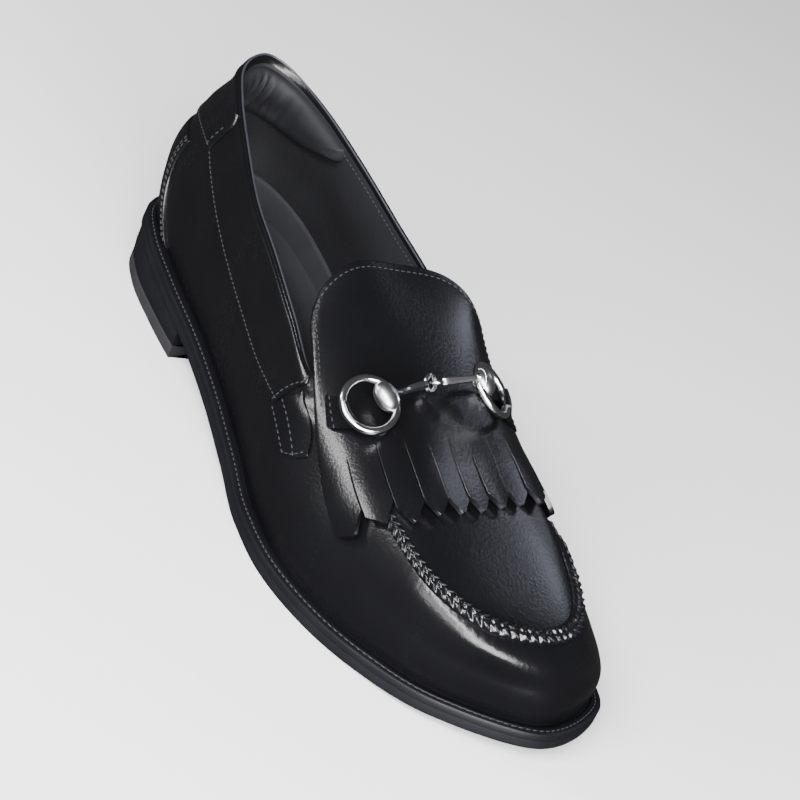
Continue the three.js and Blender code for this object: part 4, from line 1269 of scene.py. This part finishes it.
def build_strap(side, share, setback, centre, inwards, lean):
    """A strap that is sewn to the kiltie and folds round the wire of the ring."""
    s = sizes()
    height, band = KILTIE_LIFT + s.kiltie * 1000, s.overlay * 1000
    radius, fold = (s.ring - s.wire) * 500, s.wire * 500 + 0.75
    wide, ring_angle = 12.6, 0.5
    across = np.cross(lean, inwards)
    w = np.linspace(0, 1, 16)
    x = surface(*RING_SEATS[side])[0] - setback + wide * (0.5 - w)
    base, up = on_sheet(share + 0 * w, x)
    angle = ring_angle * (1 - 2 * w) * (1.0 if across[0] > 0 else -1.0)
    outward = -inwards * np.cos(angle)[:, None] + across * np.sin(angle)[:, None]
    wire = centre + radius * outward
    sewn, start = base + up * (height + 0.02), base + up * (height + band)
    loops = [sewn, base + up * (height + band * 0.8)]
    for q in (0.06, 0.14, 0.3, 0.5, 0.7, 0.85, 0.94):
        loops.append(start + (wire + lean * fold - start) * q - up * 0.9 * np.sin(np.pi * q))
    for a in np.linspace(0, np.pi, 9):
        loops.append(wire + fold * (lean * np.cos(a) - outward * np.sin(a)))
    for q in (0.8, 0.55, 0.3, 0.12):
        loops.append(sewn + (wire - lean * fold - base - up * height) * q - up * 0.6 * np.sin(np.pi * q))
    grid = np.stack(loops, 1)
    middle = grid.mean(axis=1, keepdims=True)
    near = 1 - 0.2 * (1 - quarter_round(np.minimum(w, 1 - w) * wide, 0.8))
    grid = middle + (grid - middle) * near[:, None, None]
    faces = tube_faces(*grid.shape[:2], caps=True)
    strap = piece_from(f"bit_strap_{side}", grid.reshape(-1, 3), faces, ("leather",),
                       (f"bit_tab_{side}",), sharp=60.0)
    rework(strap, lambda bm: bmesh.ops.recalc_face_normals(bm, faces=bm.faces))
    return grid[1:-1, 3] * 0.5 + grid[1:-1, 4] * 0.5 + up[1:-1] * 0.1, up[1:-1]


# The photograph's camera: turn from the shoe to the view, place in the shoe's millimetres, and lens
CAMERA_TURN = ((0.41754, 0.81294, 0.40594), (0.58942, 0.09769, -0.80190), (-0.69156, 0.57409, -0.43837))
CAMERA_PLACE = (893.346, -599.778, 507.328)
CAMERA_LENS = 137.1


def heading(azimuth, elevation):
    """Unit vector of a direction in degrees, azimuth from the toe towards the inner side."""
    a, e = math.radians(azimuth), math.radians(elevation)
    return np.array([math.cos(e) * math.cos(a), math.cos(e) * math.sin(a), math.sin(e)])


def softbox(name, start, end, width, radiance, colour, distance=1.5):
    """A soft light that fills the directions from start to end, and width degrees across."""
    first, last = heading(*start), heading(*end)
    back = (first + last) / np.linalg.norm(first + last)
    length = 2 * distance * math.tan(math.acos(first @ last) / 2)
    height = 2 * distance * math.tan(math.radians(width) / 2)
    data = bpy.data.lights.new(name, "AREA")
    data.shape = "RECTANGLE"
    data.size, data.size_y = length, height
    data.energy = radiance * math.pi * length * height
    data.color = colour
    lamp = bpy.data.objects.new(name, data)
    bpy.context.scene.collection.objects.link(lamp)
    along = (last - first) / np.linalg.norm(last - first)
    turn = Matrix(np.stack([along, np.cross(back, along), back], 1).tolist()).to_4x4()
    turn.translation = (back * distance).tolist()
    lamp.matrix_world = turn


# Softboxes: the directions that each one fills from start to end, its width in degrees and its radiance
LIGHTS = (
    ("key_softbox", (-90, 42), (-26, 32), 13, 48, (1, 1, 1)),
    ("side_softbox", (-86, 16), (-40, 16), 20, 12, (1, 1, 1)),
    ("toe_softbox", (-40, 15), (2, 12), 27, 36, (1, 1, 1)),
    ("edge_strip", (-121, 17), (-124, 31), 4, 100, (1, 1, 1)),
    ("rear_softbox", (106, 33), (117, 43), 6, 9, (0.8, 0.84, 1.0)),
)
FLOOR_REACH = 4
WORLD_STRENGTH = 0.07


def build_stage():
    """A plain pale floor, soft lights and the photograph's camera."""
    mesh = bpy.data.meshes.new("floor")
    corners = [(x * FLOOR_REACH, y * FLOOR_REACH, 0) for x, y in ((-1, -1), (1, -1), (1, 1), (-1, 1))]
    mesh.from_pydata(corners, [], [(0, 1, 2, 3)])
    s = Shader("pale_floor", Roughness=0.6)
    s.feed("Base Color", s.blend(s.noise(3.0), (0.83, 0.83, 0.84), (0.85, 0.85, 0.86)))
    mesh.materials.append(s.material)
    floor = bpy.data.objects.new("floor", mesh)
    bpy.context.scene.collection.objects.link(floor)
    floor.visible_glossy = False

    world = bpy.data.worlds.new("studio")
    world.use_nodes = True
    sky = world.node_tree.nodes["Background"].inputs
    sky["Color"].default_value = (1, 1, 1, 1)
    sky["Strength"].default_value = WORLD_STRENGTH
    bpy.context.scene.world = world
    for light in LIGHTS:
        softbox(*light)

    turn = np.array(CAMERA_TURN)
    data = bpy.data.cameras.new("photo_camera")
    data.lens, data.sensor_width = CAMERA_LENS, 36
    data.clip_start, data.clip_end = 0.05, 20
    camera = bpy.data.objects.new("photo_camera", data)
    bpy.context.scene.collection.objects.link(camera)
    pose = Matrix(np.stack([turn[0], -turn[1], -turn[2]], 1).tolist()).to_4x4()
    pose.translation = to_metres(CAMERA_PLACE).tolist()
    camera.matrix_world = pose
    bpy.context.scene.camera = camera


def operator(name, label, text, work):
    """An operator class that builds one group of pieces."""
    def execute(self, context):
        work()
        return {"FINISHED"}
    return type(f"LOAFER_OT_{name}", (bpy.types.Operator,), {
        "bl_idname": f"loafer.{name}", "bl_label": label, "__doc__": text, "execute": execute})


OPERATORS = [
    operator("stage", "Stage", "Sets up the floor, the lights and the camera", build_stage),
    operator("bottom", "Sole and heel", "Builds the sole, the welt and the heel", build_bottom),
    operator("upper", "Upper", "Builds the leather shell of the upper", build_upper),
    operator("inside", "Inside", "Builds the sock, the heel pad, the piping and the tongue", build_inside),
    operator("kiltie", "Kiltie", "Builds the fringed flap over the instep", build_kiltie),
    operator("seams", "Seams", "Builds the apron seam and the plait at the heel", build_seams),
    operator("overlays", "Overlays", "Builds counters, bands and tabs with their stitches", build_overlays),
    operator("bit", "Bit", "Builds the rings, the bars and the straps of the bit", build_bit),
]


class LOAFER_PT_panel(bpy.types.Panel):
    """Lists the steps and the sizes of the loafer."""

    bl_label = "Loafer"
    bl_space_type = "VIEW_3D"
    bl_region_type = "UI"
    bl_category = "Loafer"

    def draw(self, context):
        for group in (context.scene.loafer_sizes, context.scene.loafer_colours):
            for key in group.__annotations__:
                self.layout.prop(group, key)
        for step in OPERATORS:
            self.layout.operator(step.bl_idname)


def register():
    for cls in (LoaferSizes, LoaferColours, *OPERATORS, LOAFER_PT_panel):
        bpy.utils.register_class(cls)
    bpy.types.Scene.loafer_sizes = PointerProperty(type=LoaferSizes)
    bpy.types.Scene.loafer_colours = PointerProperty(type=LoaferColours)


def unregister():
    del bpy.types.Scene.loafer_colours
    del bpy.types.Scene.loafer_sizes
    for cls in (LOAFER_PT_panel, *reversed(OPERATORS), LoaferColours, LoaferSizes):
        bpy.utils.unregister_class(cls)


def main():
    register()
    for step in OPERATORS:
        group, name = step.bl_idname.split(".")
        getattr(getattr(bpy.ops, group), name)()


if __name__ == "__main__":
    main()
